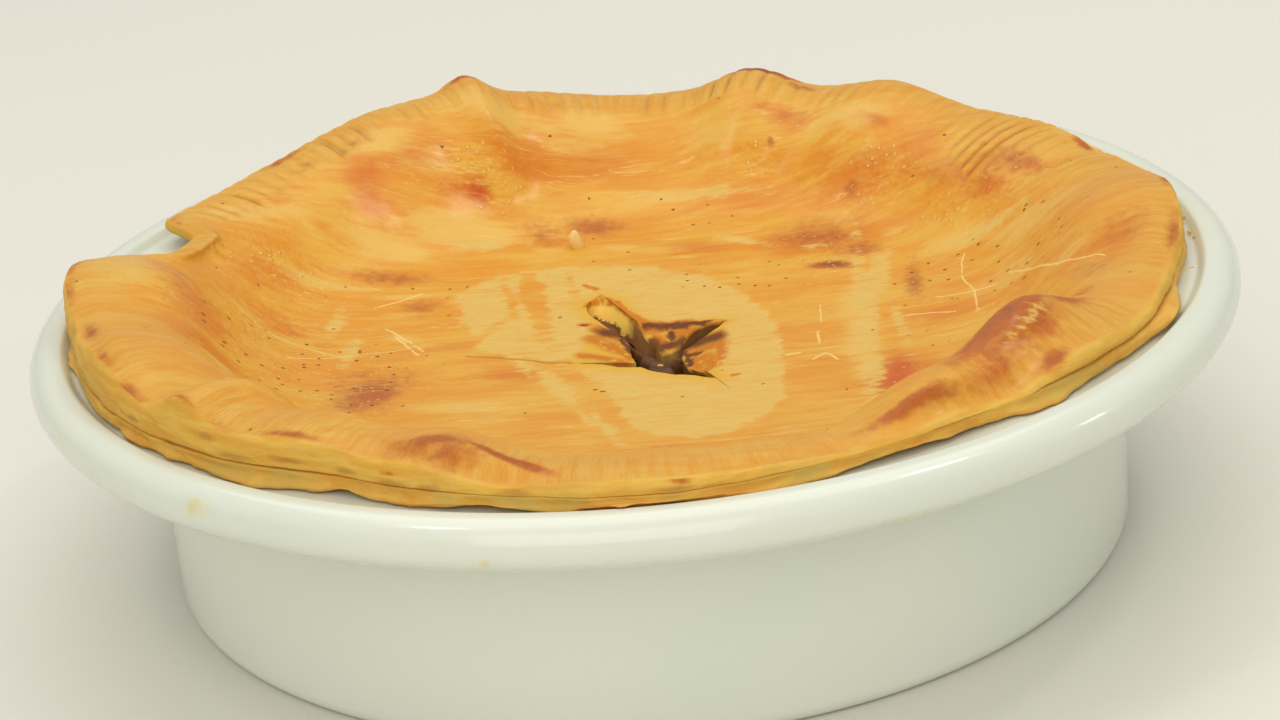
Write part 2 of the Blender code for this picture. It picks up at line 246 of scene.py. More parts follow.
# Vent: four cuts that meet near its middle, seen from above
VENT_RAGGED = 0.18 * MM
VENT_LEAN_REACH = 20.0 * MM
VENT_CENTRE = Vector((5.0, -2.0)) * MM
VENT_OUTLINE = [
    Vector(point) * MM
    for point in (
        (21.4, 9.4),
        (18.4, 10.0),
        (15.0, 10.0),
        (12.7, 8.7),
        (10.1, 5.8),
        (7.8, 4.6),
        (5.8, 4.7),
        (3.2, 8.8),
        (1.8, 11.6),
        (0.6, 16.0),
        (-0.1, 18.1),
        (-2.3, 24.8),
        (-4.6, 30.6),
        (-7.4, 33.1),
        (-9.9, 32.1),
        (-11.4, 29.0),
        (-11.2, 24.0),
        (-9.6, 20.2),
        (-7.8, 17.0),
        (-5.6, 13.6),
        (-3.6, 10.4),
        (-2.0, 7.8),
        (-1.7, 4.6),
        (-1.5, 1.0),
        (-0.6, -2.4),
        (-3.5, -3.2),
        (-9.0, -5.2),
        (-15.2, -7.0),
        (-8.5, -9.5),
        (-4.2, -13.0),
        (0.6, -14.1),
        (2.2, -16.1),
        (8.0, -20.4),
        (12.6, -22.3),
        (15.6, -24.6),
        (18.3, -25.7),
        (11.4, -12.3),
        (10.3, -3.2),
        (10.9, 0.6),
        (13.6, 2.4),
        (17.3, 4.6),
        (19.6, 6.6),
    )
]
# Flaps that sag into the vent from a hinge line: the sector that each takes as seen from the
# vent's middle, the hinge's two ends, the tip in mm, the depth there, and the curve of the sag
VENT_FLAPS = (
    ((120.0, 194.0), (-15.2, -7.0), (-10.5, 20.0), (-0.8, -1.0), 3.4 * MM, 1.35),
    ((299.0, 395.0), (21.4, 9.4), (18.3, -25.7), (10.3, -3.2), 3.2 * MM, 1.20),
    ((35.0, 105.0), (0.6, 15.0), (21.4, 9.4), (7.8, 4.6), 4.4 * MM, 0.90),
)

# Pastry left without glaze round the vent, a closed outline in millimetres
BARE_PATCH = (
    (-43.5, 42.0),
    (-41.5, 23.0),
    (-37.0, 4.5),
    (-27.0, -1.0),
    (-16.5, -6.5),
    (-11.5, -18.0),
    (-6.5, -34.0),
    (-2.5, -52.0),
    (3.0, -58.0),
    (10.0, -60.5),
    (18.5, -58.8),
    (26.0, -53.0),
    (31.5, -43.0),
    (33.0, -25.5),
    (33.4, -9.0),
    (32.5, 8.0),
    (28.5, 22.6),
    (17.5, 40.5),
    (3.0, 49.5),
    (-7.3, 52.2),
    (-17.3, 54.5),
    (-33.0, 53.0),
)

# Other bare places: x, y, half-length, half-width in mm, turn in degrees
BARE_MARKS = (
    (53.6, -7.0, 49.0, 2.7, 87.0),
    (58.4, 24.0, 17.0, 3.6, 74.0),
    (61.6, -6.0, 12.0, 0.9, 92.0),
    (-72.0, 24.0, 8.0, 1.6, 80.0),
    (-67.6, 9.3, 8.0, 1.5, 78.0),
    (-93.0, -38.0, 14.0, 1.7, -66.0),
    (-27.5, -4.0, 8.0, 1.5, -75.0),
    (-19.5, -21.0, 15.0, 2.2, -72.0),
    (-9.0, -49.0, 11.0, 1.1, -76.0),
    (-13.0, -43.0, 8.0, 0.8, -72.0),
    (19.0, 85.3, 12.5, 1.5, -12.0),
    (29.0, 60.5, 4.6, 0.9, -40.0),
    (48.4, 50.9, 4.0, 0.9, -14.0),
    (-37.0, 70.0, 9.0, 2.4, 0.0),
    (82.8, -80.4, 3.2, 0.5, 52.0),
    (85.0, 33.0, 11.0, 1.9, -12.0),
)

# Glaze brushed over the bare patch again: x, y, half-length, half-width in mm, turn
GLAZED_AGAIN = (
    (-23.8, 33.0, 24.0, 2.9, -84.0),
    (-29.5, 36.0, 10.0, 0.9, -84.0),
    (-14.6, 44.0, 9.0, 0.8, -84.0),
    (-36.0, 14.0, 9.0, 1.2, 60.0),
)

# Pale places of the glaze: x, y, half-length, half-width in mm, turn in degrees, strength
PALE_MARKS = (
    (-9.7, 99.0, 16.0, 5.0, 0.0, 0.90),
    (24.0, 98.6, 10.0, 5.0, 0.0, 0.70),
    (-22.0, 104.0, 12.0, 4.0, 0.0, 0.60),
    (-28.5, 103.6, 12.0, 8.0, -8.0, 0.85),
    (-59.4, 94.4, 9.0, 6.0, 30.0, 0.80),
    (-49.7, 88.0, 9.0, 2.4, 10.0, 0.80),
    (-95.0, 61.0, 9.0, 5.5, 40.0, 0.70),
    (-41.0, 73.0, 13.0, 7.5, -8.0, 1.00),
    (-62.0, 66.0, 13.0, 4.8, 0.0, 0.90),
    (-75.0, 45.3, 12.0, 2.1, 4.0, 1.00),
    (-54.0, 42.3, 12.0, 1.7, 9.0, 1.00),
    (-18.4, 105.0, 6.0, 5.0, 0.0, 0.70),
    (-8.5, 107.8, 12.0, 6.0, -5.0, 0.95),
    (19.1, 85.3, 14.0, 2.6, -12.0, 1.00),
    (29.0, 60.5, 5.0, 1.8, -40.0, 1.00),
    (60.3, 89.1, 11.0, 5.0, -25.0, 0.95),
    (62.5, 74.7, 3.2, 5.0, -20.0, 0.80),
    (20.0, 98.8, 1.5, 6.0, 0.0, 0.60),
    (-2.2, 64.8, 6.0, 2.6, -14.0, 0.90),
    (14.5, 53.6, 3.4, 1.0, -14.0, 1.00),
    (-20.7, 66.0, 4.0, 1.6, -10.0, 0.60),
    (65.4, 50.5, 4.0, 3.0, -20.0, 0.90),
    (-85.0, -54.0, 9.0, 4.0, -45.0, 0.80),
    (-93.0, 18.5, 4.5, 2.0, 0.0, 0.60),
    (-58.0, 30.0, 12.0, 2.6, 8.0, 0.60),
    (-55.0, 15.5, 6.0, 3.0, -30.0, 0.80),
    (-43.3, -30.5, 16.0, 3.6, -8.0, 0.85),
    (-30.0, -40.0, 14.0, 3.0, -12.0, 0.60),
    (-12.0, -70.0, 16.0, 3.0, -8.0, 0.45),
    (30.0, -66.0, 14.0, 2.2, -10.0, 0.45),
    (94.0, 24.0, 14.0, 6.0, -35.0, 0.75),
    (84.0, 33.0, 13.0, 4.0, -10.0, 0.75),
    (88.0, 4.0, 14.0, 10.0, -30.0, 0.65),
    (100.0, -14.0, 9.0, 6.0, -60.0, 0.60),
    (-118.0, 6.0, 6.0, 13.0, 0.0, 1.00),
    (52.0, -8.0, 4.6, 50.0, -3.0, 0.80),
)

# Deep orange glaze: x, y, half-length, half-width in mm, turn in degrees, strength
DEEP_MARKS = (
    (56.3, -36.0, 13.0, 6.0, 80.0, 0.90),
    (-52.0, 90.0, 12.0, 5.0, 12.0, 0.70),
    (46.6, 53.0, 16.0, 8.0, 0.0, 0.80),
    (45.0, 9.0, 10.0, 5.0, 0.0, 0.50),
    (110.0, -22.0, 14.0, 8.0, 80.0, 0.60),
    (-65.4, 80.4, 6.0, 11.0, 20.0, 0.90),
    (-25.3, 94.8, 11.0, 6.5, -8.0, 0.80),
    (-88.7, 39.6, 12.0, 7.0, 20.0, 0.80),
    (-85.6, 68.8, 6.0, 5.0, 30.0, 0.70),
    (15.8, 60.3, 10.0, 5.0, -12.0, 1.00),
    (45.3, 96.7, 9.0, 6.0, -20.0, 0.90),
    (58.0, 73.8, 14.0, 8.0, -25.0, 1.00),
    (75.9, 69.7, 10.0, 12.0, -40.0, 0.80),
    (-84.2, 15.8, 9.0, 9.0, 0.0, 0.80),
    (-73.9, 13.1, 5.0, 6.0, 0.0, 0.60),
    (-43.9, 9.3, 8.0, 6.0, -20.0, 0.80),
    (-30.2, -11.5, 10.0, 8.0, -30.0, 0.85),
    (8.7, -66.5, 15.0, 3.6, -8.0, 1.00),
    (42.5, -15.8, 7.0, 8.0, 0.0, 0.45),
    (72.0, -4.0, 11.0, 8.0, -10.0, 0.55),
    (-96.0, -21.0, 13.0, 8.0, -70.0, 1.00),
    (-101.0, -2.0, 12.0, 9.0, 70.0, 0.90),
    (-5.0, 96.0, 12.0, 5.0, -5.0, 0.60),
    (62.0, -34.0, 8.0, 14.0, 10.0, 0.90),
    (-40.0, -52.0, 12.0, 5.0, -20.0, 0.55),
    (34.0, 78.0, 12.0, 5.0, -16.0, 0.60),
)

# Browned places: x, y, half-length, half-width in mm, turn in degrees, strength
BROWN_MARKS = (
    (82.8, -80.0, 14.0, 6.0, 50.0, 0.80),
    (97.0, -50.0, 12.0, 4.0, 70.0, 0.45),
    (-39.2, -115.4, 9.0, 5.0, -10.0, 0.80),
    (113.0, -16.0, 10.0, 8.0, 85.0, 0.55),
    (-81.0, 84.0, 8.0, 3.0, 40.0, 0.60),
    (-68.0, 92.0, 7.0, 2.4, 36.0, 0.55),
    (-62.2, -19.2, 15.0, 8.0, 62.0, 1.00),
    (-66.0, -7.0, 9.0, 6.0, 60.0, 0.55),
    (-82.5, 21.0, 6.0, 4.0, 80.0, 0.45),
    (-51.7, 35.9, 7.0, 5.0, 60.0, 0.75),
    (-59.3, 52.4, 12.0, 4.6, 0.0, 0.70),
    (-20.7, 74.0, 8.0, 8.0, 0.0, 0.60),
    (-7.8, 77.3, 11.0, 5.5, -10.0, 0.75),
    (46.9, 57.1, 15.0, 11.0, -14.0, 0.70),
    (57.3, 45.0, 7.0, 5.0, -14.0, 0.85),
    (49.6, 37.0, 6.5, 1.9, -14.0, 1.70),
    (67.8, 20.0, 3.0, 15.0, -3.0, 0.75),
    (57.7, 70.4, 2.2, 2.4, 0.0, 1.00),
    (39.4, 91.5, 1.2, 1.5, 0.0, 1.20),
    (96.0, 50.0, 16.0, 6.0, -45.0, 0.65),
    (80.0, 58.0, 12.0, 6.0, -40.0, 0.55),
    (76.0, -81.6, 20.0, 3.6, 44.0, 1.25),
    (92.0, -66.0, 9.0, 4.0, 50.0, 1.00),
    (75.8, -87.1, 12.0, 7.0, 45.0, 0.85),
    (86.0, -89.6, 6.0, 2.4, 42.0, 1.00),
    (55.0, -106.6, 15.0, 2.2, 24.0, 1.10),
    (-43.0, -111.0, 11.0, 4.0, 4.0, 1.00),
    (-28.0, -116.4, 14.0, 1.7, -36.0, 1.25),
    (-40.0, -70.0, 16.0, 4.0, -30.0, 0.35),
    (-105.0, 8.0, 5.0, 8.0, 20.0, 0.45),
    (104.0, -32.0, 6.0, 8.0, 20.0, 0.55),
)

# Strongly baked orange places: x, y, half-length, half-width in mm, turn in degrees, strength
RED_MARKS = (
    (57.4, -37.0, 13.0, 5.5, 80.0, 1.00),
    (-37.1, 85.3, 5.0, 3.4, 0.0, 1.10),
    (-43.0, 84.0, 6.0, 3.0, 10.0, 0.60),
    (90.0, 44.0, 9.0, 5.0, -40.0, 0.80),
    (42.0, 99.0, 12.0, 4.0, -20.0, 0.60),
    (85.6, -81.0, 4.2, 3.0, 45.0, 1.30),
    (97.0, -52.0, 7.0, 3.0, 60.0, 0.80),
    (72.0, -95.5, 8.0, 3.0, 42.0, 0.90),
    (100.0, 46.0, 9.0, 4.0, -60.0, 0.60),
    (-95.0, 62.0, 10.0, 3.0, 40.0, 0.45),
    (-60.0, 86.0, 12.0, 3.0, 28.0, 0.50),
    (-16.0, 112.0, 2.0, 4.0, 0.0, 0.50),
    (66.0, 84.0, 8.0, 3.0, -30.0, 0.60),
)

# Zones with dark specks: x, y, half-length, half-width in mm, turn in degrees, strength
SPECKLED = (
    (-76.0, -4.0, 26.0, 17.0, 0.0, 1.00),
    (28.0, 37.0, 16.0, 10.0, -10.0, 0.90),
    (70.0, 22.0, 8.0, 16.0, 0.0, 1.00),
    (66.0, -18.0, 6.0, 5.0, 0.0, 1.00),
    (90.0, 15.0, 22.0, 20.0, 0.0, 0.60),
    (-55.0, 45.0, 24.0, 8.0, 10.0, 0.55),
    (-62.0, -22.0, 14.0, 8.0, 60.0, 0.90),
    (10.0, 78.0, 24.0, 8.0, -8.0, 0.45),
)

# Zones with small blisters, raised in the relief and given painted glints in the colour: x, y,
# half-length, half-width in mm, turn, strength
BUBBLY_AND_GLINT_MARKS = (
    (-72.0, -12.0, 24.0, 18.0, 60.0, 1.00),
    (-86.0, 14.0, 14.0, 12.0, 0.0, 0.90),
    (-116.0, 12.0, 10.0, 18.0, 0.0, 0.60),
    (-92.0, 44.0, 18.0, 8.0, 20.0, 0.80),
    (49.0, 37.5, 8.0, 3.0, -14.0, 1.60),
    (46.0, 52.0, 14.0, 8.0, -14.0, 0.60),
    (-34.0, 88.0, 8.0, 7.0, 0.0, 1.30),
    (37.0, 88.0, 4.0, 5.0, 0.0, 1.50),
    (66.0, 70.0, 10.0, 8.0, -30.0, 1.10),
    (78.0, 48.0, 8.0, 6.0, 0.0, 0.90),
    (98.0, 44.0, 14.0, 12.0, 0.0, 0.60),
    (70.0, 18.0, 5.0, 16.0, 0.0, 0.80),
    (57.0, -36.0, 5.0, 8.0, 0.0, 0.90),
)

# Browned places on the rim: angle, half-width in degrees, radius, half-width across, strength
RIM_BROWN = (
    (177.5, 4.0, 126.3 * MM, 1.6 * MM, 0.79),
    (184.0, 4.0, 126.6 * MM, 2.4 * MM, 0.86),
    (194.5, 5.0, 124.0 * MM, 2.0 * MM, 0.90),
    (205.6, 4.0, 125.5 * MM, 1.8 * MM, 0.79),
    (212.0, 4.0, 126.5 * MM, 2.2 * MM, 0.83),
    (221.0, 3.2, 127.2 * MM, 2.0 * MM, 0.79),
    (226.0, 3.0, 126.0 * MM, 2.4 * MM, 0.65),
    (234.5, 4.5, 125.5 * MM, 2.0 * MM, 0.90),
    (247.0, 4.0, 122.0 * MM, 4.0 * MM, 0.80),
    (245.8, 1.4, 131.5 * MM, 1.2 * MM, 0.90),
    (272.5, 1.6, 128.5 * MM, 1.2 * MM, 0.90),
    (71.0, 4.5, 126.0 * MM, 2.2 * MM, 1.50),
    (66.0, 3.0, 122.0 * MM, 3.0 * MM, 0.80),
    (108.5, 2.4, 125.0 * MM, 3.0 * MM, 1.10),
    (24.5, 2.4, 126.2 * MM, 1.8 * MM, 1.10),
    (350.0, 5.0, 126.0 * MM, 2.4 * MM, 0.90),
    (3.0, 3.0, 126.5 * MM, 1.6 * MM, 0.80),
    (133.0, 4.0, 125.5 * MM, 2.0 * MM, 0.90),
    (153.0, 3.0, 125.5 * MM, 3.0 * MM, 0.70),
)

# Gravy that stained the pastry round the vent: from, to and half-width in mm
STAINED_PLACES = (
    ((-11.4, 28.5), (-7.9, 33.6), 1.4),
    ((-7.9, 33.4), (-3.8, 29.0), 1.3),
    ((-3.8, 28.8), (-0.1, 19.2), 1.2),
    ((-0.1, 19.4), (2.6, 12.4), 2.0),
    ((-11.2, 41.2), (-8.6, 38.2), 1.3),
    ((-10.2, 7.6), (-4.5, 3.0), 4.6),
    ((-13.0, -2.6), (-3.0, -3.0), 3.0),
    ((14.0, -3.0), (18.6, -4.0), 4.6),
    ((15.0, -9.0), (17.6, -15.0), 4.0),
    ((-8.4, 13.6), (-2.4, 8.0), 4.4),
    ((-6.0, 5.0), (-2.0, 0.0), 2.8),
    ((2.4, 13.0), (7.1, 11.4), 3.4),
    ((6.4, 12.2), (13.3, 11.6), 2.2),
    ((13.3, 11.4), (20.9, 9.8), 1.5),
    ((8.0, 9.0), (13.5, 9.0), 2.6),
    ((4.0, 9.5), (8.0, 6.5), 2.4),
    ((12.6, 1.0), (19.0, 2.5), 3.8),
    ((19.6, 2.0), (19.0, -14.0), 2.6),
    ((12.0, -1.0), (14.0, -16.0), 2.6),
    ((14.0, -18.0), (18.0, -16.0), 2.6),
    ((-12.7, 16.6), (-11.4, 16.0), 1.8),
    ((21.3, -24.8), (22.4, -24.4), 1.1),
)
# Pastry soaked with gravy, and dark lines of painted shade along the edges of the slits: from, to and
# half-width in mm
SOAKED_PLACES = (
    ((-7.0, 12.0), (-4.0, 12.2), 4.4),
    ((-3.6, 9.0), (-1.6, 3.0), 1.3),
    ((2.2, 13.0), (5.2, 12.6), 1.5),
    ((5.4, 12.3), (11.8, 11.0), 1.7),
    ((11.8, 11.2), (17.5, 10.4), 1.0),
    ((8.2, 9.6), (8.4, 8.2), 1.0),
    ((3.4, 9.0), (5.8, 5.6), 1.6),
    ((6.4, 6.4), (10.6, 6.8), 1.9),
    ((13.4, 2.6), (18.2, 0.6), 4.2),
    ((12.4, -4.0), (14.2, -5.0), 1.3),
    ((11.2, 0.0), (12.0, -11.0), 1.0),
    ((-12.5, 16.4), (-11.6, 16.0), 0.8),
    ((-10.8, -25.5), (-10.2, -25.7), 0.7),
    ((-8.9, -27.1), (-8.3, -27.3), 0.5),
)
# How the cut faces of the vent lean into it: direction from its middle, half-width in degrees,
# lean across and forward at the bottom
VENT_LEANS = (
    (106.0, 8.0, -1.2 * MM, -5.0 * MM),
    (84.0, 9.0, -1.0 * MM, -1.5 * MM),
    (62.0, 14.0, 0.0, -2.6 * MM),
)

# Egg wash that ran onto the dish: angle, half-width in degrees, height, half-height, strength
DISH_STAINS = (
    (228.0, 1.5, 60.5 * MM, 2.4 * MM, 0.75),
    (255.5, 0.8, 56.0 * MM, 1.8 * MM, 0.75),
    (259.5, 0.6, 59.5 * MM, 1.6 * MM, 0.55),
    (205.0, 4.0, 60.0 * MM, 3.0 * MM, 0.25),
    (303.0, 0.8, 58.0 * MM, 1.8 * MM, 0.50),
    (291.0, 4.0, 54.5 * MM, 1.2 * MM, 0.45),
    (245.0, 3.0, 54.0 * MM, 1.0 * MM, 0.25),
)

# Thin pale cracks of the glaze: from and to, in mm, and width
CRACKS = (
    ((89.3, 5.2), (98.4, -14.0), 0.34),
    ((98.4, -14.0), (107.0, -26.4), 0.30),
    ((71.7, 7.1), (85.7, 3.8), 0.34),
    ((63.7, -0.8), (74.7, -3.9), 0.36),
    ((81.0, 27.2), (78.6, 16.6), 0.28),
    ((78.6, 16.6), (80.5, 4.8), 0.26),
    ((80.5, 4.8), (79.9, -7.1), 0.32),
    ((33.7, -15.8), (37.2, -15.4), 0.50),
    ((39.9, -20.2), (42.9, -17.3), 0.42),
    ((42.9, -17.3), (45.3, -21.7), 0.42),
    ((42.7, -2.7), (42.1, -10.3), 0.30),
    ((44.4, 14.0), (43.8, 3.0), 0.26),
    ((-59.5, 22.7), (-50.5, 6.8), 0.50),
    ((-57.5, 17.3), (-51.4, 4.2), 0.42),
    ((-63.0, 36.0), (-51.4, 44.0), 0.40),
    ((-82.0, 3.0), (-52.0, 9.0), 0.26),
    ((-92.0, 16.0), (-70.0, 6.0), 0.26),
)
# The knife's line that runs on from the vent's left tip, dented and darkened with painted shade
KNIFE_LINE = ((-40.0, 1.6), (-14.5, -7.2), 0.42)


def bump(angle, centre, width):
    """A soft bump of height 1 round the dish, centred at an angle."""
    away = (angle - centre + 180.0) % 360.0 - 180.0
    return math.exp(-((away / width) ** 2))


def ease(low, high, value):
    """0 below low, 1 above high, and a smooth step between them."""
    share = min(max((value - low) / (high - low), 0.0), 1.0)
    return share * share * (3.0 - 2.0 * share)


def evenly(first, last, spacing):
    """Numbers from first to last, about one spacing apart."""
    count = max(1, round(abs(last - first) / spacing))
    return [first + (last - first) * index / count for index in range(count + 1)]


@functools.lru_cache(maxsize=None)
def rim_height(angle):
    """Height of the rim's crest at an angle."""
    return RIM_Z + sum(rise * bump(angle, at, width) for at, width, rise in RIM_SWELLS)


@functools.lru_cache(maxsize=None)
def rim_lean(angle):
    """How far the rim's shoulder lies below its crest at an angle."""
    return SHOULDER_DROP + sum(drop * bump(angle, at, width) for at, width, drop in RIM_LEANS)


@functools.lru_cache(maxsize=None)
def outline(angle):
    """Radius of the pastry's edge at an angle, with the notch."""
    radius = EDGE + sum(reach * bump(angle, at, width) for at, width, reach in OUTLINE_WAVES)
    open_side = ease(NOTCH_FROM - NOTCH_EASE, NOTCH_FROM + NOTCH_EASE, angle)
    close_side = 1.0 - ease(NOTCH_TO - NOTCH_EASE, NOTCH_TO + NOTCH_EASE, angle)
    return radius - NOTCH_DEPTH * open_side * close_side


def real_radius(nominal, angle):
    """Radius on the uneven pie of a nominal radius."""
    return nominal + (outline(angle) - EDGE) * ease(BEND_FROM, BEND_TO, nominal)


def bowl_height(nominal, angle):
    """Top of the lid without its small swells: a shallow bowl that climbs to the rim."""
    bowl = BOWL_Z + BOWL_RISE * (nominal / (100.0 * MM)) ** 2
    climb = 1.0 / (1.0 + math.exp(-(nominal - WALL_RADIUS) / WALL_WIDTH))
    over = max(0.0, (nominal - SHOULDER) / (EDGE - SHOULDER))
    drop = rim_lean(angle) * ease(CREST, SHOULDER, nominal) + EDGE_ROUND * over * over
    return bowl + (rim_height(angle) - bowl) * climb - drop


def fork_mark(nominal, angle):
    """Depth of the fork marks pressed into the rim, uneven from mark to mark."""
    press = sum(strength * bump(angle, at, width) for at, width, strength in FORK_PRESS)
    if press < 0.03:
        return 0.0
    turn = math.radians(angle)
    here = Vector((math.cos(turn), math.sin(turn), 0.0))
    wander = 1.3 * noise.noise(here * 3.0 + Vector((0.0, 0.0, nominal * 12.0)))
    wave = 0.5 + 0.5 * math.cos(math.radians(angle * FORK_MARKS) + wander)
    force = 0.8 + 1.1 * noise.noise(here * 17.0)
    at, width, reach = LONG_MARKS
    start = CRIMP_START - reach * bump(angle, at, width)
    fade = 1.0 - 0.7 * ease(CREST, SHOULDER, nominal)
    begun = ease(start, start + 7.0 * MM, nominal)
    return FORK_DEPTH * press * max(0.1, force) * wave**3 * begun * fade


def swell(nominal, angle, flat):
    """Blisters and folds of the lid, and its slight unevenness."""
    total = 0.0
    for at, radius, width, across, rise in LID_SWELLS:
        if abs(nominal - radius) < 3.0 * across:
            off = (nominal - radius) / across
            total += rise * bump(angle, at, width) * math.exp(-(off**2))
    place = Vector((flat.x, flat.y, 0.0))
    total += LID_UNEVEN * noise.noise(place * LID_WAVES_PER_METRE)
    for depth, waves_per_metre in LID_DIMPLES:
        total += depth * noise.noise(place * waves_per_metre)
    return total


def vent_sag(point):
    """How far the lid sags into the vent at a point."""
    away = point - VENT_CENTRE
    turn = math.degrees(math.atan2(away.y, away.x)) % 360.0
    for (first, last), start, end, tip, depth, curve in VENT_FLAPS:
        if not (first <= turn <= last or first <= turn + 360.0 <= last):
            continue
        start, end, tip = Vector(start) * MM, Vector(end) * MM, Vector(tip) * MM
        across = Vector((start.y - end.y, end.x - start.x)).normalized()
        share = across.dot(point - start) / across.dot(tip - start)
        if share > 0.0:
            return depth * min(share, 1.25) ** curve
    return 0.0


def collar_top(angle):
    """Top of the collar's outer part at an angle."""
    wave = math.sin(math.radians(5.0 * angle)) + math.sin(math.radians(3.0 * angle + 40.0))
    return FLANGE_Z + GAP + COLLAR_THICK + 0.5 * COLLAR_WAVE * wave


def lid_underside(nominal, angle):
    """Underside of the lid: it rests on the collar and hangs free inside the dish."""
    if nominal > COLLAR_INNER - 1.5 * MM:
        return collar_top(angle) + GAP
    free = bowl_height(nominal, angle) - LID_THICK
    if nominal < INNER_RADIUS - 1.0 * MM:
        return free
    corner = INNER_RADIUS + INNER_CORNER - CORNER_ROOM
    lowest = FLANGE_Z + CORNER_ROOM - CORNER_SLOPE * max(0.0, corner - nominal)
    return max(lowest, free)


def crossing(direction):
    """Distance from the vent's middle to its edge along a direction."""
    count = len(VENT_OUTLINE)
    found = []
    for index in range(count):
        start = VENT_OUTLINE[index] - VENT_CENTRE
        side = VENT_OUTLINE[(index + 1) % count] - VENT_CENTRE - start
        turn = direction.x * side.y - direction.y * side.x
        if abs(turn) < 1e-12:
            continue
        reach = (start.x * side.y - start.y * side.x) / turn
        share = (start.x * direction.y - start.y * direction.x) / turn
        if reach > 0.0 and -1e-6 <= share <= 1.0 + 1e-6:
            found.append(reach)
    if not found:
        raise ValueError("the vent's outline is open")
    return min(found)


@functools.lru_cache(maxsize=None)
def vent_edge(angle):
    """Point of the vent's edge along a spoke."""
    turn = math.radians(angle)
    ray = Vector((math.cos(turn), math.sin(turn)))
    ragged = VENT_RAGGED * noise.noise(Vector((ray.x, ray.y, 0.3)) * 14.0)
    return VENT_CENTRE + ray * (crossing(ray) + ragged)


def spun(profile, steps, start=0.0, sweep=360.0, closed=False):
    """A mesh turned from a profile of (radius, height) points about +Z."""
    bm = bmesh.new()
    turn = math.radians(start)
    verts = [
        bm.verts.new((radius * math.cos(turn), radius * math.sin(turn), height))
        for radius, height in profile
    ]
    pairs = list(zip(verts, verts[1:]))
    if closed:
        pairs.append((verts[-1], verts[0]))
    edges = [bm.edges.new(pair) for pair in pairs]
    bmesh.ops.spin(
        bm,
        geom=verts + edges,
        cent=(0.0, 0.0, 0.0),
        axis=(0.0, 0.0, 1.0),
        angle=math.radians(sweep),
        steps=steps,
        use_merge=sweep >= 360.0,
        use_duplicate=False,
    )
    bmesh.ops.remove_doubles(bm, verts=bm.verts, dist=1e-6)
    return bm


def arc(centre, radius, first, last, count):
    """Points of an arc in the profile's plane, angles in degrees."""
    points = []
    for index in range(count + 1):
        turn = math.radians(first + (last - first) * index / count)
        points.append((centre[0] + radius * math.cos(turn), centre[1] + radius * math.sin(turn)))
    return points


def polar(point):
    """Radius and angle in degrees of a point."""
    return math.hypot(point.x, point.y), math.degrees(math.atan2(point.y, point.x)) % 360.0


def on_circle(radius, angle, height=0.0):
    """A point at a radius and an angle in degrees."""
    turn = math.radians(angle)
    return Vector((radius * math.cos(turn), radius * math.sin(turn), height))


def finished(bm, name, node_name, finish, fields=None, sharp=60.0):
    """Closes a bmesh into a piece of the pie, with its finish and its painted fields."""
    bmesh.ops.recalc_face_normals(bm, faces=bm.faces)
    if bm.calc_volume(signed=True) < 0.0:
        bmesh.ops.reverse_faces(bm, faces=bm.faces)
    mesh = bpy.data.meshes.new(name)
    bm.to_mesh(mesh)
    bm.free()
    mesh.shade_smooth()
    mesh.set_sharp_from_angle(angle=math.radians(sharp))
    for field, values in (fields or {}).items():
        mesh.attributes.new(field, "FLOAT", "POINT").data.foreach_set("value", values)
    mesh.materials.append(finish)
    piece = bpy.data.objects.new(name, mesh)
    bpy.context.scene.collection.objects.link(piece)
    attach(piece, "root")
    if node_name:
        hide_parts(node_name)
    return piece


def along_and_across(dx, dy, half_length, half_width, turn):
    """Distances from a turned ellipse's middle, as shares of its half-sizes."""
    cosine, sine = math.cos(math.radians(turn)), math.sin(math.radians(turn))
    return (dx * cosine + dy * sine) / half_length, (dy * cosine - dx * sine) / half_width


def ellipse_field(x, y, marks):
    """Strongest of soft elliptical marks at a point in mm, each with its own strength."""
    best = 0.0
    for mark_x, mark_y, half_length, half_width, turn, strength in marks:
        dx, dy = x - mark_x, y - mark_y
        if abs(dx) + abs(dy) > 3.2 * (half_length + half_width):
            continue
        along, across = along_and_across(dx, dy, half_length, half_width, turn)
        best = max(best, strength * math.exp(-(along * along + across * across)))
    return best


def ellipse_depth(x, y, marks):
    """How deep in mm a point lies inside the nearest of some elliptical marks."""
    best = -6.0
    for mark_x, mark_y, half_length, half_width, turn in marks:
        dx, dy = x - mark_x, y - mark_y
        if abs(dx) + abs(dy) > 2.0 * (half_length + half_width) + 8.0:
            continue
        along, across = along_and_across(dx, dy, half_length, half_width, turn)
        best = max(best, (1.0 - math.hypot(along, across)) * half_width)
    return best


def polygon_depth(x, y, corners):
    """How deep in mm a point lies inside a closed outline, negative outside it."""
    nearest = 1e9
    inside = False
    for (x0, y0), (x1, y1) in zip(corners, corners[1:] + corners[:1]):
        side_x, side_y = x1 - x0, y1 - y0
        share = ((x - x0) * side_x + (y - y0) * side_y) / (side_x * side_x + side_y * side_y)
        share = min(max(share, 0.0), 1.0)
        nearest = min(nearest, math.hypot(x - x0 - share * side_x, y - y0 - share * side_y))
        if (y0 > y) != (y1 > y) and x < x0 + (y - y0) * side_x / side_y:
            inside = not inside
    return nearest if inside else -nearest


def make_node(tree, kind, inputs=None, **settings):
    """Adds a shader node with its settings, and the values or links of its inputs."""
    made = tree.nodes.new(kind)
    for name, value in settings.items():
        setattr(made, name, value)
    for name, value in (inputs or {}).items():
        if isinstance(value, bpy.types.NodeSocket):
            tree.links.new(value, made.inputs[name])
        else:
            made.inputs[name].default_value = value
    return made


def maths(tree, operation, first, second=0.5):
    """A Math node's result."""
    return make_node(tree, "ShaderNodeMath", {0: first, 1: second}, operation=operation).outputs[0]


def plus(tree, first, second):
    """Sum of two values."""
    return maths(tree, "ADD", first, second)


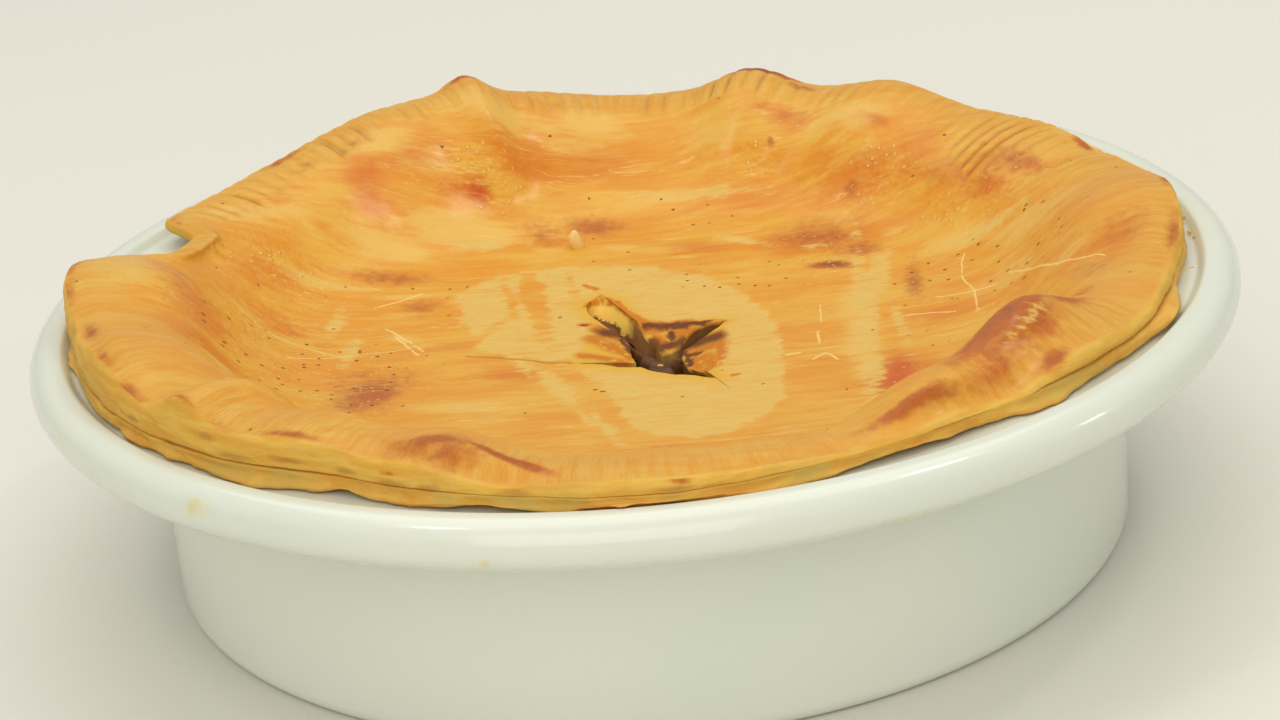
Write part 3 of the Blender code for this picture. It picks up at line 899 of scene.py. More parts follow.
def minus(tree, first, second):
    """Difference of two values."""
    return maths(tree, "SUBTRACT", first, second)


def times(tree, first, second):
    """Product of two values."""
    return maths(tree, "MULTIPLY", first, second)


def vector_maths(tree, operation, first, second=None, scale=None):
    """A Vector Math node's result, a vector or a value."""
    inputs = {0: first}
    if second is not None:
        inputs[1] = second
    if scale is not None:
        inputs["Scale"] = scale
    result = "Value" if operation in ("DOT_PRODUCT", "LENGTH", "DISTANCE") else "Vector"
    return make_node(tree, "ShaderNodeVectorMath", inputs, operation=operation).outputs[result]


def flattened(tree, place):
    """A place seen from above, without its height."""
    return vector_maths(tree, "MULTIPLY", place, (1.0, 1.0, 0.0))


def step_up(tree, value, low, high):
    """0 below low, 1 above high, smooth between."""
    inputs = {"Value": value, "From Min": low, "From Max": high}
    made = make_node(tree, "ShaderNodeMapRange", inputs, interpolation_type="SMOOTHSTEP")
    return made.outputs["Result"]


def blend_colour(tree, share, first, second):
    """Mix of two colours."""
    made = make_node(tree, "ShaderNodeMix", {0: share, 6: first, 7: second}, data_type="RGBA")
    return made.outputs[2]


def fine_noise(tree, place, scale, detail=2.0, rough=0.5, distortion=0.0):
    """Noise between 0 and 1."""
    inputs = {"Vector": place, "Scale": scale, "Detail": detail, "Roughness": rough}
    inputs["Distortion"] = distortion
    return make_node(tree, "ShaderNodeTexNoise", inputs).outputs[0]


def stretched(tree, place, scale, turn=0.0):
    """A place stretched along each axis, for streaks."""
    inputs = {"Vector": place, "Scale": scale, "Rotation": (0.0, 0.0, math.radians(turn))}
    return make_node(tree, "ShaderNodeMapping", inputs).outputs["Vector"]


def painted(tree, name):
    """A painted field of the piece."""
    made = make_node(tree, "ShaderNodeAttribute", attribute_name=name, attribute_type="GEOMETRY")
    return made.outputs["Fac"]


def begin_group(name, inputs, outputs):
    """A new shader node group with named sockets; returns it with its input and output nodes."""
    tree = bpy.data.node_groups.new(name, "ShaderNodeTree")
    for socket, kind, default in inputs:
        made = tree.interface.new_socket(socket, in_out="INPUT", socket_type=kind)
        if default is not None:
            made.default_value = default
    for socket, kind in outputs:
        tree.interface.new_socket(socket, in_out="OUTPUT", socket_type=kind)
    return tree, tree.nodes.new("NodeGroupInput"), tree.nodes.new("NodeGroupOutput")


def use_group(tree, group, inputs):
    """Places a node group with its own values; returns its result."""
    return make_node(tree, "ShaderNodeGroup", inputs, node_tree=group_named(group)).outputs[0]


VALUE = "NodeSocketFloat"
VECTOR = "NodeSocketVector"


def ragged_edge_group():
    """Turns a painted depth in mm into a mask with a ragged, streaky edge."""
    inputs = [("Place", VECTOR, None), ("Depth", VALUE, 0.0), ("Raggedness", VALUE, 1.0)]
    inputs += [("Softness", VALUE, 0.4)]
    tree, inlet, outlet = begin_group("Ragged edge", inputs, [("Mask", VALUE)])
    coarse = fine_noise(tree, inlet.outputs["Place"], 160.0, 3.0, 0.6)
    streaks = stretched(tree, inlet.outputs["Place"], (0.35, 1.6, 1.0))
    fine = fine_noise(tree, streaks, 620.0, 2.0, 0.6)
    both = plus(tree, coarse, fine)
    wobble = times(tree, minus(tree, both, 1.0), inlet.outputs["Raggedness"])
    depth = plus(tree, inlet.outputs["Depth"], wobble)
    low = times(tree, inlet.outputs["Softness"], -1.0)
    tree.links.new(step_up(tree, depth, low, inlet.outputs["Softness"]), outlet.inputs["Mask"])
    return tree


def smear_group():
    """A line or smear between two points, seen from above, as a mask."""
    inputs = [("Place", VECTOR, None), ("From", VECTOR, None), ("Along", VECTOR, None)]
    inputs += [("Length", VALUE, 0.01), ("Width", VALUE, 0.0003), ("Softness", VALUE, 0.7)]
    tree, inlet, outlet = begin_group("Smear", inputs, [("Mask", VALUE)])
    away = vector_maths(tree, "SUBTRACT", inlet.outputs["Place"], inlet.outputs["From"])
    away = flattened(tree, away)
    reach = vector_maths(tree, "DOT_PRODUCT", away, inlet.outputs["Along"])
    reach = maths(tree, "MAXIMUM", reach, 0.0)
    reach = maths(tree, "MINIMUM", reach, inlet.outputs["Length"])
    foot = vector_maths(tree, "SCALE", inlet.outputs["Along"], scale=reach)
    gap = vector_maths(tree, "DISTANCE", away, foot)
    sharp = minus(tree, 1.0, inlet.outputs["Softness"])
    inner = times(tree, inlet.outputs["Width"], sharp)
    tree.links.new(step_up(tree, gap, inlet.outputs["Width"], inner), outlet.inputs["Mask"])
    return tree


def brush_lines_group():
    """Long thin lines left by the brush, as a mask."""
    inputs = [("Place", VECTOR, None), ("Scale", VALUE, 200.0), ("Width", VALUE, 0.01)]
    tree, inlet, outlet = begin_group("Brush lines", inputs, [("Mask", VALUE)])
    tone = fine_noise(tree, inlet.outputs["Place"], inlet.outputs["Scale"], 2.0, 0.5)
    away = maths(tree, "ABSOLUTE", minus(tree, tone, 0.5))
    inner = times(tree, inlet.outputs["Width"], 0.3)
    tree.links.new(step_up(tree, away, inlet.outputs["Width"], inner), outlet.inputs["Mask"])
    return tree


def specks_group():
    """Scattered small specks of uneven size, as a mask."""
    inputs = [("Place", VECTOR, None), ("Scale", VALUE, 200.0), ("Share", VALUE, 0.1)]
    inputs += [("Size", VALUE, 0.15)]
    tree, inlet, outlet = begin_group("Specks", inputs, [("Mask", VALUE)])
    place = inlet.outputs["Place"]
    inputs = {"Vector": place, "Scale": inlet.outputs["Scale"]}
    cells = make_node(tree, "ShaderNodeTexVoronoi", inputs, voronoi_dimensions="2D")
    pick = make_node(tree, "ShaderNodeSeparateColor", {"Color": cells.outputs["Color"]}).outputs[0]
    chosen = maths(tree, "LESS_THAN", pick, inlet.outputs["Share"])
    ragged = times(tree, fine_noise(tree, place, 1400.0), 0.16)
    distance = plus(tree, cells.outputs["Distance"], minus(tree, ragged, 0.08))
    near = step_up(tree, distance, inlet.outputs["Size"], times(tree, inlet.outputs["Size"], 0.6))
    tree.links.new(times(tree, near, chosen), outlet.inputs["Mask"])
    return tree


def fibres_group():
    """Fine marks that run out from the middle of the pie, as a height from 0 to 1."""
    inputs = [("Place", VECTOR, None), ("Scale", VALUE, 60.0), ("Run", VALUE, 4.0)]
    tree, inlet, outlet = begin_group("Fibres", inputs, [("Height", VALUE)])
    flat = flattened(tree, inlet.outputs["Place"])
    outward = vector_maths(tree, "NORMALIZE", flat)
    length = vector_maths(tree, "LENGTH", flat)
    scaled = vector_maths(tree, "SCALE", outward, scale=inlet.outputs["Scale"])
    run = times(tree, length, inlet.outputs["Run"])
    raised = make_node(tree, "ShaderNodeCombineXYZ", {2: run}).outputs[0]
    place = vector_maths(tree, "ADD", scaled, raised)
    tree.links.new(fine_noise(tree, place, 1.0, 3.0, 0.6), outlet.inputs["Height"])
    return tree


def layers_group():
    """Thin layers that run round the side of the pastry, as a height from 0 to 1."""
    inputs = [("Place", VECTOR, None), ("Round", VALUE, 8.0), ("Up", VALUE, 500.0)]
    tree, inlet, outlet = begin_group("Layers", inputs, [("Height", VALUE)])
    outward = vector_maths(tree, "NORMALIZE", flattened(tree, inlet.outputs["Place"]))
    scaled = vector_maths(tree, "SCALE", outward, scale=inlet.outputs["Round"])
    height = make_node(tree, "ShaderNodeSeparateXYZ", {0: inlet.outputs["Place"]}).outputs[2]
    up = times(tree, height, inlet.outputs["Up"])
    raised = make_node(tree, "ShaderNodeCombineXYZ", {2: up}).outputs[0]
    place = vector_maths(tree, "ADD", scaled, raised)
    tree.links.new(fine_noise(tree, place, 1.0, 3.0, 0.6, 0.4), outlet.inputs["Height"])
    return tree


def new_finish(name):
    """An empty material; returns it, its tree, its shader and the Object coordinates."""
    made = bpy.data.materials.new(name)
    made.use_nodes = True
    tree = made.node_tree
    place = make_node(tree, "ShaderNodeTexCoord").outputs["Object"]
    return made, tree, tree.nodes["Principled BSDF"], place


def connect(tree, shader, sockets):
    """Feeds the shader's sockets."""
    for name, value in sockets.items():
        if isinstance(value, bpy.types.NodeSocket):
            tree.links.new(value, shader.inputs[name])
        else:
            shader.inputs[name].default_value = value


def relief(tree, height, distance, strength=1.0):
    """A Bump node's normal."""
    inputs = {"Height": height, "Distance": distance, "Strength": strength}
    return make_node(tree, "ShaderNodeBump", inputs).outputs["Normal"]


def swayed(tree, place, scale, reach):
    """A place pushed about by noise, so that lines and edges waver."""
    sway = make_node(tree, "ShaderNodeTexNoise", {"Vector": place, "Scale": scale, "Detail": 3.0})
    centred = vector_maths(tree, "SUBTRACT", sway.outputs["Color"], (0.5, 0.5, 0.5))
    pushed = vector_maths(tree, "SCALE", centred, scale=reach)
    return vector_maths(tree, "ADD", place, pushed)


def smeared(tree, place, lines, softness):
    """Mask of several lines or smears, each from and to in mm with its half-width."""
    total = None
    for start, end, width in lines:
        start, end = Vector((*start, 0.0)) * MM, Vector((*end, 0.0)) * MM
        values = {"Place": place, "From": start, "Along": (end - start).normalized()}
        values.update({"Length": (end - start).length, "Width": width * MM, "Softness": softness})
        mask = use_group(tree, "Smear", values)
        total = mask if total is None else maths(tree, "MAXIMUM", total, mask)
    return total


def group_named(name):
    """A shader node group of this script, built on first use."""
    makers = {
        "Ragged edge": ragged_edge_group,
        "Smear": smear_group,
        "Brush lines": brush_lines_group,
        "Specks": specks_group,
        "Fibres": fibres_group,
        "Layers": layers_group,
    }
    return bpy.data.node_groups.get(name) or makers[name]()


def tint(colour):
    """A colour with its alpha."""
    return (*colour, 1.0)


def crust_finish(crust):
    """Baked pastry: streaky egg glaze, bare patches, browned places and plain sides, with painted
    shade in its grooves, cracks, layers and vent cuts, painted glints on its blisters and painted
    light on the vent's pale cut faces.
    """
    made, tree, shader, place = new_finish("crust")
    broad = fine_noise(tree, stretched(tree, place, (0.55, 1.5, 1.0), 8.0), 52.0, 4.0, 0.6)
    streak = fine_noise(tree, stretched(tree, place, (0.20, 1.9, 1.0), -6.0), 250.0, 4.0, 0.65)
    tone = plus(tree, times(tree, broad, 0.60), times(tree, streak, 0.40))
    ragged_tone = times(tree, minus(tree, tone, 0.5), 2.6)
    thick = step_up(tree, tone, 0.38, 0.60)
    glaze = blend_colour(tree, thick, tint(crust.glaze_pale), tint(crust.glaze))
    pale = step_up(tree, minus(tree, painted(tree, "pale"), ragged_tone), 0.12, 0.85)
    glaze = blend_colour(tree, times(tree, pale, 0.85), glaze, tint(crust.pale))
    deep_in = plus(tree, painted(tree, "deep"), times(tree, ragged_tone, 0.8))
    deep = step_up(tree, deep_in, 0.15, 0.95)
    glaze = blend_colour(tree, times(tree, deep, 0.72), glaze, tint(crust.deep))

    mottle = fine_noise(tree, place, 420.0, 3.0, 0.6)
    centred = minus(tree, mottle, 0.5)
    patchy = minus(tree, fine_noise(tree, place, 130.0, 3.0, 0.6), 0.5)
    ragged = plus(tree, times(tree, centred, 0.7), times(tree, patchy, 0.7))
    brown = step_up(tree, plus(tree, painted(tree, "brown"), ragged), 0.18, 1.0)
    red = step_up(tree, plus(tree, painted(tree, "red"), ragged), 0.15, 1.1)
    colour = blend_colour(tree, red, glaze, tint(crust.deep_red))
    colour = blend_colour(tree, times(tree, brown, 0.92), colour, tint(crust.browned))
    burnt = step_up(tree, plus(tree, painted(tree, "brown"), ragged), 1.05, 1.6)
    colour = blend_colour(tree, burnt, colour, tint(crust.burnt))

    bare_in = {"Place": place, "Depth": painted(tree, "bare"), "Raggedness": 5.5, "Softness": 0.9}
    bare = use_group(tree, "Ragged edge", bare_in)
    dusty = fine_noise(tree, stretched(tree, place, (0.4, 1.7, 1.0)), 520.0, 3.0, 0.6)
    dusty = step_up(tree, dusty, 0.35, 0.7)
    bare_colour = blend_colour(tree, dusty, tint(crust.bare), tint(crust.bare_warm))
    warm_streak = times(tree, step_up(tree, streak, 0.56, 0.70), 0.5)
    bare_colour = blend_colour(tree, warm_streak, bare_colour, tint(crust.glaze))
    colour = blend_colour(tree, times(tree, bare, 0.94), colour, bare_colour)

    lines_place = stretched(tree, place, (0.07, 1.3, 0.6), -8.0)
    values = {"Place": lines_place, "Scale": 330.0, "Width": 0.016}
    lines = use_group(tree, "Brush lines", values)
    lines_where = step_up(tree, fine_noise(tree, place, 70.0, 3.0, 0.6), 0.47, 0.62)
    line = times(tree, lines, lines_where)
    line = times(tree, line, painted(tree, "glazed"))
    wavering = swayed(tree, place, 140.0, 2.2 * MM)
    cracks = smeared(tree, wavering, CRACKS, 0.45)
    broken = step_up(tree, fine_noise(tree, place, 330.0, 2.0), 0.30, 0.44)
    cracks = times(tree, cracks, broken)
    pale_line = maths(tree, "MAXIMUM", cracks, times(tree, line, 0.45))
    colour = blend_colour(tree, times(tree, pale_line, 0.9), colour, tint(crust.crack))

    halo = painted(tree, "halo")
    colour = blend_colour(tree, times(tree, halo, 0.72), colour, tint(crust.oiled))

    fibres = use_group(tree, "Fibres", {"Place": place, "Scale": 80.0, "Run": 60.0})
    fine_fibres = use_group(tree, "Fibres", {"Place": place, "Scale": 190.0, "Run": 110.0})
    rim = painted(tree, "rim")
    unburnt = minus(tree, 1.0, brown)
    ridges = step_up(tree, fibres, 0.34, 0.60)
    rim_tone = blend_colour(tree, ridges, tint(crust.rim_dark), tint(crust.rim_pale))
    rim_share = times(tree, rim, times(tree, unburnt, 0.85))
    colour = blend_colour(tree, rim_share, colour, rim_tone)

    # Painted shade: the side is darker where its layers lie low in the relief
    layers = use_group(tree, "Layers", {"Place": place, "Round": 7.0, "Up": 420.0})
    side = painted(tree, "side")
    layered = step_up(tree, layers, 0.36, 0.62)
    side_tone = blend_colour(tree, layered, tint(crust.side_layer_shade), tint(crust.side))
    side_blotch = step_up(tree, fine_noise(tree, place, 85.0, 3.0, 0.55), 0.50, 0.70)
    side_tone = blend_colour(tree, times(tree, side_blotch, 0.55), side_tone, tint(crust.side_olive))
    colour = blend_colour(tree, times(tree, side, unburnt), colour, side_tone)
    # Painted shade: darker in the bottoms of the fork marks and in the cracks of the side
    groove_shade = painted(tree, "groove_shade")
    groove_shade = step_up(tree, plus(tree, groove_shade, times(tree, centred, 0.5)), 0.12, 1.0)
    colour = blend_colour(tree, times(tree, groove_shade, 0.62), colour, tint(crust.groove_shade))

    blotted = swayed(tree, place, 380.0, 2.4 * MM)
    # The cut faces: pale oiled pastry, with their colour raised above the other pastry as painted
    # light on these shaded walls
    cut = painted(tree, "cut")
    cut_in = times(tree, cut, plus(tree, 1.0, times(tree, centred, 1.6)))
    colour = blend_colour(tree, step_up(tree, cut_in, 0.05, 0.25), colour, tint(crust.cut))
    stained = smeared(tree, blotted, STAINED_PLACES, 0.85)
    stained = times(tree, stained, step_up(tree, cut_in, 0.34, 0.18))
    stained = times(tree, stained, step_up(tree, mottle, 0.30, 0.46))
    # Painted shade: the cut faces of the narrow slits at the right and front are dark all over, and
    # every cut face darkens towards its bottom; both take the soaked colour
    cut_shade = times(tree, painted(tree, "cut_shade"), step_up(tree, cut_in, 0.02, 0.16))
    colour = blend_colour(tree, times(tree, stained, 0.88), colour, tint(crust.stained))
    soaked_and_shade = smeared(tree, blotted, SOAKED_PLACES, 0.8)
    soaked_and_shade = maths(tree, "MAXIMUM", soaked_and_shade, cut_shade)
    soaked_and_shade = maths(tree, "MAXIMUM", soaked_and_shade, step_up(tree, cut_in, 0.72, 0.95))
    colour = blend_colour(tree, times(tree, soaked_and_shade, 0.92), colour, tint(crust.soaked_and_shade))

    values = {"Place": place, "Scale": 240.0, "Share": 0.34, "Size": 0.13}
    specks = use_group(tree, "Specks", values)
    speck = times(tree, specks, step_up(tree, painted(tree, "speckled"), 0.15, 0.4))
    values = {"Place": place, "Scale": 110.0, "Share": 0.10, "Size": 0.05}
    few = use_group(tree, "Specks", values)
    few = times(tree, few, minus(tree, 1.0, side))
    speck = maths(tree, "MAXIMUM", speck, few)
    colour = blend_colour(tree, times(tree, speck, 0.85), colour, tint(crust.speck))
    # Painted highlight: small bright glints painted into the colour over the bubbly zones, standing
    # for light caught by the blisters; the same spots are also raised in the relief
    blister_place = stretched(tree, place, (0.8, 1.0, 1.0), -12.0)
    values = {"Place": blister_place, "Scale": 520.0, "Share": 0.50, "Size": 0.26}
    painted_glint = use_group(tree, "Specks", values)
    painted_glint = times(tree, painted_glint, step_up(tree, painted(tree, "bubbly"), 0.05, 0.60))
    painted_glint = times(tree, painted_glint, step_up(tree, patchy, -0.10, 0.08))
    colour = blend_colour(tree, times(tree, painted_glint, 0.55), colour, tint(crust.painted_glint))
    # The knife's line: a dent in the relief, darkened with painted shade
    knife = smeared(tree, wavering, (KNIFE_LINE,), 0.6)
    colour = blend_colour(tree, times(tree, knife, 0.45), colour, tint(crust.groove_shade))

    values = {"Vector": place, "Scale": 560.0, "Randomness": 1.0}
    blisters = make_node(tree, "ShaderNodeTexVoronoi", values, feature="SMOOTH_F1").outputs["Distance"]
    bubbly = plus(tree, times(tree, brown, 0.5), 0.10)
    bubbly = plus(tree, bubbly, painted(tree, "bubbly"))
    bubbles = times(tree, minus(tree, 0.55, blisters), bubbly)
    grain = fine_noise(tree, place, 900.0, 3.0, 0.65)
    brushed = fine_noise(tree, stretched(tree, place, (0.2, 2.0, 1.0), -6.0), 700.0, 3.0, 0.6)
    height = plus(tree, times(tree, grain, 0.30), times(tree, brushed, 0.35))
    height = plus(tree, height, times(tree, bubbles, 1.3))
    height = plus(tree, height, times(tree, mottle, 0.6))
    height = plus(tree, height, times(tree, painted_glint, 0.9))
    height = minus(tree, height, times(tree, knife, 1.5))
    height = plus(tree, height, times(tree, times(tree, fine_fibres, rim), 2.0))
    height = plus(tree, height, times(tree, times(tree, layers, side), 1.2))
    normal = relief(tree, height, 0.45 * MM, 0.8)

    wet_or_speck = maths(tree, "MAXIMUM", speck, maths(tree, "MAXIMUM", soaked_and_shade, stained))
    dry = maths(tree, "MAXIMUM", bare, maths(tree, "MAXIMUM", side, times(tree, rim, 0.8)))
    rough = plus(tree, crust.roughness, times(tree, dry, 0.22))
    coat = times(tree, minus(tree, 1.0, dry), crust.gloss)
    coat = times(tree, coat, minus(tree, 1.0, wet_or_speck))
    connect(tree, shader, {"Base Color": colour, "Roughness": rough, "Normal": normal})
    connect(tree, shader, {"Coat Weight": coat, "Coat Roughness": 0.18, "Specular IOR Level": 0.16})
    return made


def dish_finish(dish):
    """White glaze with faint unevenness and thin stains of egg wash."""
    made, tree, shader, place = new_finish("dish_glaze")
    cloud = fine_noise(tree, place, 14.0, 2.0, 0.5)
    cool = step_up(tree, cloud, 0.35, 0.7)
    colour = blend_colour(tree, cool, tint(dish.glaze), tint(dish.glaze_cool))
    ragged = times(tree, minus(tree, fine_noise(tree, place, 420.0, 3.0, 0.6), 0.5), 0.8)
    stain = step_up(tree, plus(tree, painted(tree, "egg"), ragged), 0.12, 0.75)
    stain = times(tree, stain, step_up(tree, painted(tree, "egg"), 0.02, 0.15))
    colour = blend_colour(tree, times(tree, stain, 0.7), colour, tint(dish.egg))
    wave = fine_noise(tree, place, 60.0, 2.0, 0.5)
    pits = fine_noise(tree, place, 700.0, 2.0, 0.5)
    height = plus(tree, wave, times(tree, pits, 0.05))
    rough = plus(tree, dish.roughness, times(tree, stain, 0.25))
    normal = relief(tree, height, 0.25 * MM, 0.5)
    connect(tree, shader, {"Base Color": colour, "Roughness": rough, "Normal": normal})
    connect(tree, shader, {"Coat Weight": 0.42, "Coat Roughness": 0.05, "Specular IOR Level": 0.32})
    return made


def edge_finish(crust):
    """The lower strip of pastry: plain, dry and layered, browned here and there, with painted shade
    between its layers and in its cracks.
    """
    made, tree, shader, place = new_finish("crust_edge")
    # Painted shade: the strip is darker where its layers lie low in the relief
    layers = use_group(tree, "Layers", {"Place": place, "Round": 9.0, "Up": 450.0})
    blotch = fine_noise(tree, place, 60.0, 3.0, 0.55)
    layered = step_up(tree, layers, 0.36, 0.64)
    colour = blend_colour(tree, layered, tint(crust.strip_layer_shade), tint(crust.low))
    warm = times(tree, step_up(tree, blotch, 0.52, 0.70), 0.35)
    colour = blend_colour(tree, warm, colour, tint(crust.deep))
    colour = blend_colour(tree, step_up(tree, blotch, 0.50, 0.36), colour, tint(crust.side_olive))
    # Painted shade in the cracks of the lower strip
    crack = times(tree, step_up(tree, painted(tree, "groove_shade"), 0.15, 0.9), 0.62)
    colour = blend_colour(tree, crack, colour, tint(crust.groove_shade))
    browned = step_up(tree, painted(tree, "brown"), 0.1, 1.0)
    colour = blend_colour(tree, browned, colour, tint(crust.deep_red))
    grain = fine_noise(tree, place, 800.0, 3.0, 0.6)
    height = plus(tree, times(tree, layers, 1.5), times(tree, grain, 0.5))
    normal = relief(tree, height, 0.5 * MM, 0.8)
    connect(tree, shader, {"Base Color": colour, "Roughness": 0.62, "Normal": normal})
    connect(tree, shader, {"Specular IOR Level": 0.3})
    return made


def filling_finish(filling):
    """Dark meat in gravy: wet, with paler fibres and glossy places."""
    made, tree, shader, place = new_finish("filling")
    meat = fine_noise(tree, place, 170.0, 4.0, 0.6, 0.6)
    dry = step_up(tree, meat, 0.36, 0.62)
    colour = blend_colour(tree, dry, tint(filling.gravy), tint(filling.meat))
    fibre = fine_noise(tree, stretched(tree, place, (0.3, 1.6, 1.0), 35.0), 700.0, 3.0, 0.6)
    pale = times(tree, step_up(tree, fibre, 0.60, 0.78), 0.45)
    colour = blend_colour(tree, pale, colour, tint(filling.fibre))
    height = plus(tree, meat, times(tree, fibre, 0.5))
    rough = plus(tree, 0.32, times(tree, step_up(tree, meat, 0.4, 0.7), 0.28))
    normal = relief(tree, height, 0.8 * MM, 0.8)
    connect(tree, shader, {"Base Color": colour, "Roughness": rough, "Normal": normal})
    connect(tree, shader, {"Coat Weight": 0.08, "Coat Roughness": 0.15, "Specular IOR Level": 0.16})
    return made


def gravy_finish(filling):
    """A thin dark film of gravy."""
    made, tree, shader, place = new_finish("gravy")
    cloud = fine_noise(tree, place, 260.0, 3.0, 0.6)
    thick = step_up(tree, cloud, 0.4, 0.65)
    colour = blend_colour(tree, thick, tint(filling.film), tint(filling.gravy))
    normal = relief(tree, cloud, 0.3 * MM, 0.7)
    connect(tree, shader, {"Base Color": colour, "Roughness": 0.38, "Normal": normal})
    connect(tree, shader, {"Coat Weight": 0.06, "Coat Roughness": 0.2, "Specular IOR Level": 0.14})
    return made


def crumb_finish(crust):
    """Crumbs and grains of pastry."""
    made, tree, shader, place = new_finish("crumbs")
    tone = fine_noise(tree, place, 500.0, 3.0, 0.6)
    floury = step_up(tree, tone, 0.35, 0.65)
    colour = blend_colour(tree, floury, tint(crust.side), tint(crust.bare))
    colour = blend_colour(tree, times(tree, painted(tree, "pale"), 0.8), colour, tint(crust.crack))
    normal = relief(tree, tone, 0.3 * MM, 0.7)
    connect(tree, shader, {"Base Color": colour, "Roughness": 0.6, "Normal": normal})
    return made


def floor_finish(stage):
    """A plain pale table top with a soft sheen."""
    made, tree, shader, place = new_finish("table_top")
    cloud = fine_noise(tree, place, 3.0, 2.0, 0.5)
    colour = blend_colour(tree, cloud, tint(stage.floor), tint(stage.floor_warm))
    rough = plus(tree, 0.42, times(tree, cloud, 0.1))
    connect(tree, shader, {"Base Color": colour, "Roughness": rough, "Specular IOR Level": 0.3})
    return made


def build_dish(dish):
    """The dish: foot ring, straight wall, flat flange and a rounded bead at the lip."""
    lip_centre = (LIP_RADIUS - LIP_ROUND, DISH_HEIGHT - LIP_ROUND)
    foot_corner = BODY_RADIUS - FOOT_OUTER
    profile = [(0.0, FOOT_RECESS), (60.0 * MM, FOOT_RECESS), (FOOT_INNER - FOOT_RECESS, FOOT_RECESS)]
    profile += [(FOOT_INNER, 0.0)]
    profile += arc((FOOT_OUTER, foot_corner), foot_corner, -90.0, 0.0, 8)
    neck_z = LIP_UNDERSIDE - NECK_ROUND - MM
    profile += [(BODY_RADIUS, z) for z in evenly(foot_corner, neck_z, 4.0 * MM)[1:-1]]
    profile += arc((BODY_RADIUS + NECK_ROUND, neck_z), NECK_ROUND, 180.0, 95.0, 8)
    profile += arc(lip_centre, LIP_ROUND, -90.0, 0.0, 12)
    profile += arc(lip_centre, LIP_ROUND, 0.0, 90.0, 12)[1:]
    bead = (BEAD_INNER + 1.9 * MM, DISH_HEIGHT - BEAD_ROUND)
    profile += arc(bead, BEAD_ROUND, 90.0, 150.0, 4)
    fillet = (BEAD_INNER - 1.4 * MM, FLANGE_Z + BEAD_FILLET)
    profile += arc(fillet, BEAD_FILLET, -30.0, -90.0, 4)
    inner = (INNER_RADIUS + INNER_CORNER, FLANGE_Z - INNER_CORNER)
    profile += arc(inner, INNER_CORNER, 90.0, 180.0, 6)
    floor = (INNER_RADIUS - FLOOR_CORNER, FLOOR_TOP + FLOOR_CORNER)
    profile += arc(floor, FLOOR_CORNER, 0.0, -90.0, 6)
    profile += [(50.0 * MM, FLOOR_TOP), (0.0, FLOOR_TOP)]
    bm = spun(profile, dish.steps)
    egg = []
    for vert in bm.verts:
        radius, angle = polar(vert.co)
        spot = 0.0
        if radius > BODY_RADIUS:
            for at, width, height, half, strength in DISH_STAINS:
                rise = (vert.co.z - height) / half
                spot = max(spot, strength * bump(angle, at, width) * math.exp(-rise * rise))
        egg.append(spot)
    return finished(bm, "dish_body", "dish", dish_finish(dish), {"egg": egg}, 40.0)


def furrow(angle):
    """How deep the furrow between the lid's side and the lower strip is, from 0 to 1."""
    return min(1.0, sum(depth * bump(angle, at, width) for at, width, depth in FURROWS))


def side_bump(spoke, height):
    """Unevenness of the pastry's side, the same on the lid and the lower strip."""
    along = spoke * SIDE_WAVES_ROUND
    here = Vector((along.x, along.y, height * SIDE_WAVES_PER_METRE_UP))
    return SIDE_UNEVEN * noise.noise(here) + SIDE_UNEVEN_FINE * noise.noise(here * 3.1)


def side_crack_shade(angle, height):
    """Strength of the painted shade of the cracks in the side."""
    best = 0.0
    for at, width, middle, half in SIDE_CRACK_SHADES:
        rise = (height - middle) / half
        if abs(rise) < 2.5:
            best = max(best, bump(angle, at, width) * math.exp(-rise * rise))
    return best


def lid_place(nominal, angle, share):
    """Place on the real lid of a nominal point."""
    turn = math.radians(angle)
    spoke = Vector((math.cos(turn), math.sin(turn)))
    if nominal >= HUB_RADIUS:
        flat = spoke * real_radius(nominal, angle)
    else:
        out = max(0.0, (nominal - HOLE_NOMINAL) / (HUB_RADIUS - HOLE_NOMINAL))
        flat = vent_edge(round(angle, 5)).lerp(spoke * HUB_RADIUS, out)
    sag = vent_sag(flat)
    low = lid_underside(nominal, angle) - sag
    high = bowl_height(nominal, angle) + swell(nominal, angle, flat)
    high = high - fork_mark(nominal, angle) - sag
    height = low + (high - low) * share
    if share < 1.0 and nominal < VENT_LEAN_REACH:
        near = (1.0 - share) * ease(VENT_LEAN_REACH, HOLE_NOMINAL, nominal)
        for at, width, across, forward in VENT_LEANS:
            flat += Vector((across, forward)) * (near * bump(angle, at, width))
    if nominal > SHOULDER and share < 1.0:
        flat += spoke * side_bump(spoke, height)
        filled = (1.0 - furrow(angle)) * ease(0.6, 0.2, share)
        flat += spoke * (filled * (EDGE - nominal))
    return Vector((flat.x, flat.y, min(height, TALLEST)))


VENT_MM = [(point.x / MM, point.y / MM) for point in VENT_OUTLINE]
VENT_REACH_MM = 45.0
HALO_WIDTH_MM = 3.2
DEEPEST_MM = 8.0
SIDE_FADE = (125.6 * MM, 127.2 * MM)
RIM_FADE = (109.0 * MM, 119.0 * MM)


def cut_shade(x, y, angle):
    """Where the vent's cut faces are dark all over with painted shade, from 0 to 1."""
    if angle > 180.0:
        return ease(190.0, 200.0, angle)
    if angle > 94.0:
        return ease(21.0, 14.0, y) if x > -4.0 else 0.0
    return 0.85 + 0.15 * ease(64.0, 56.0, angle)


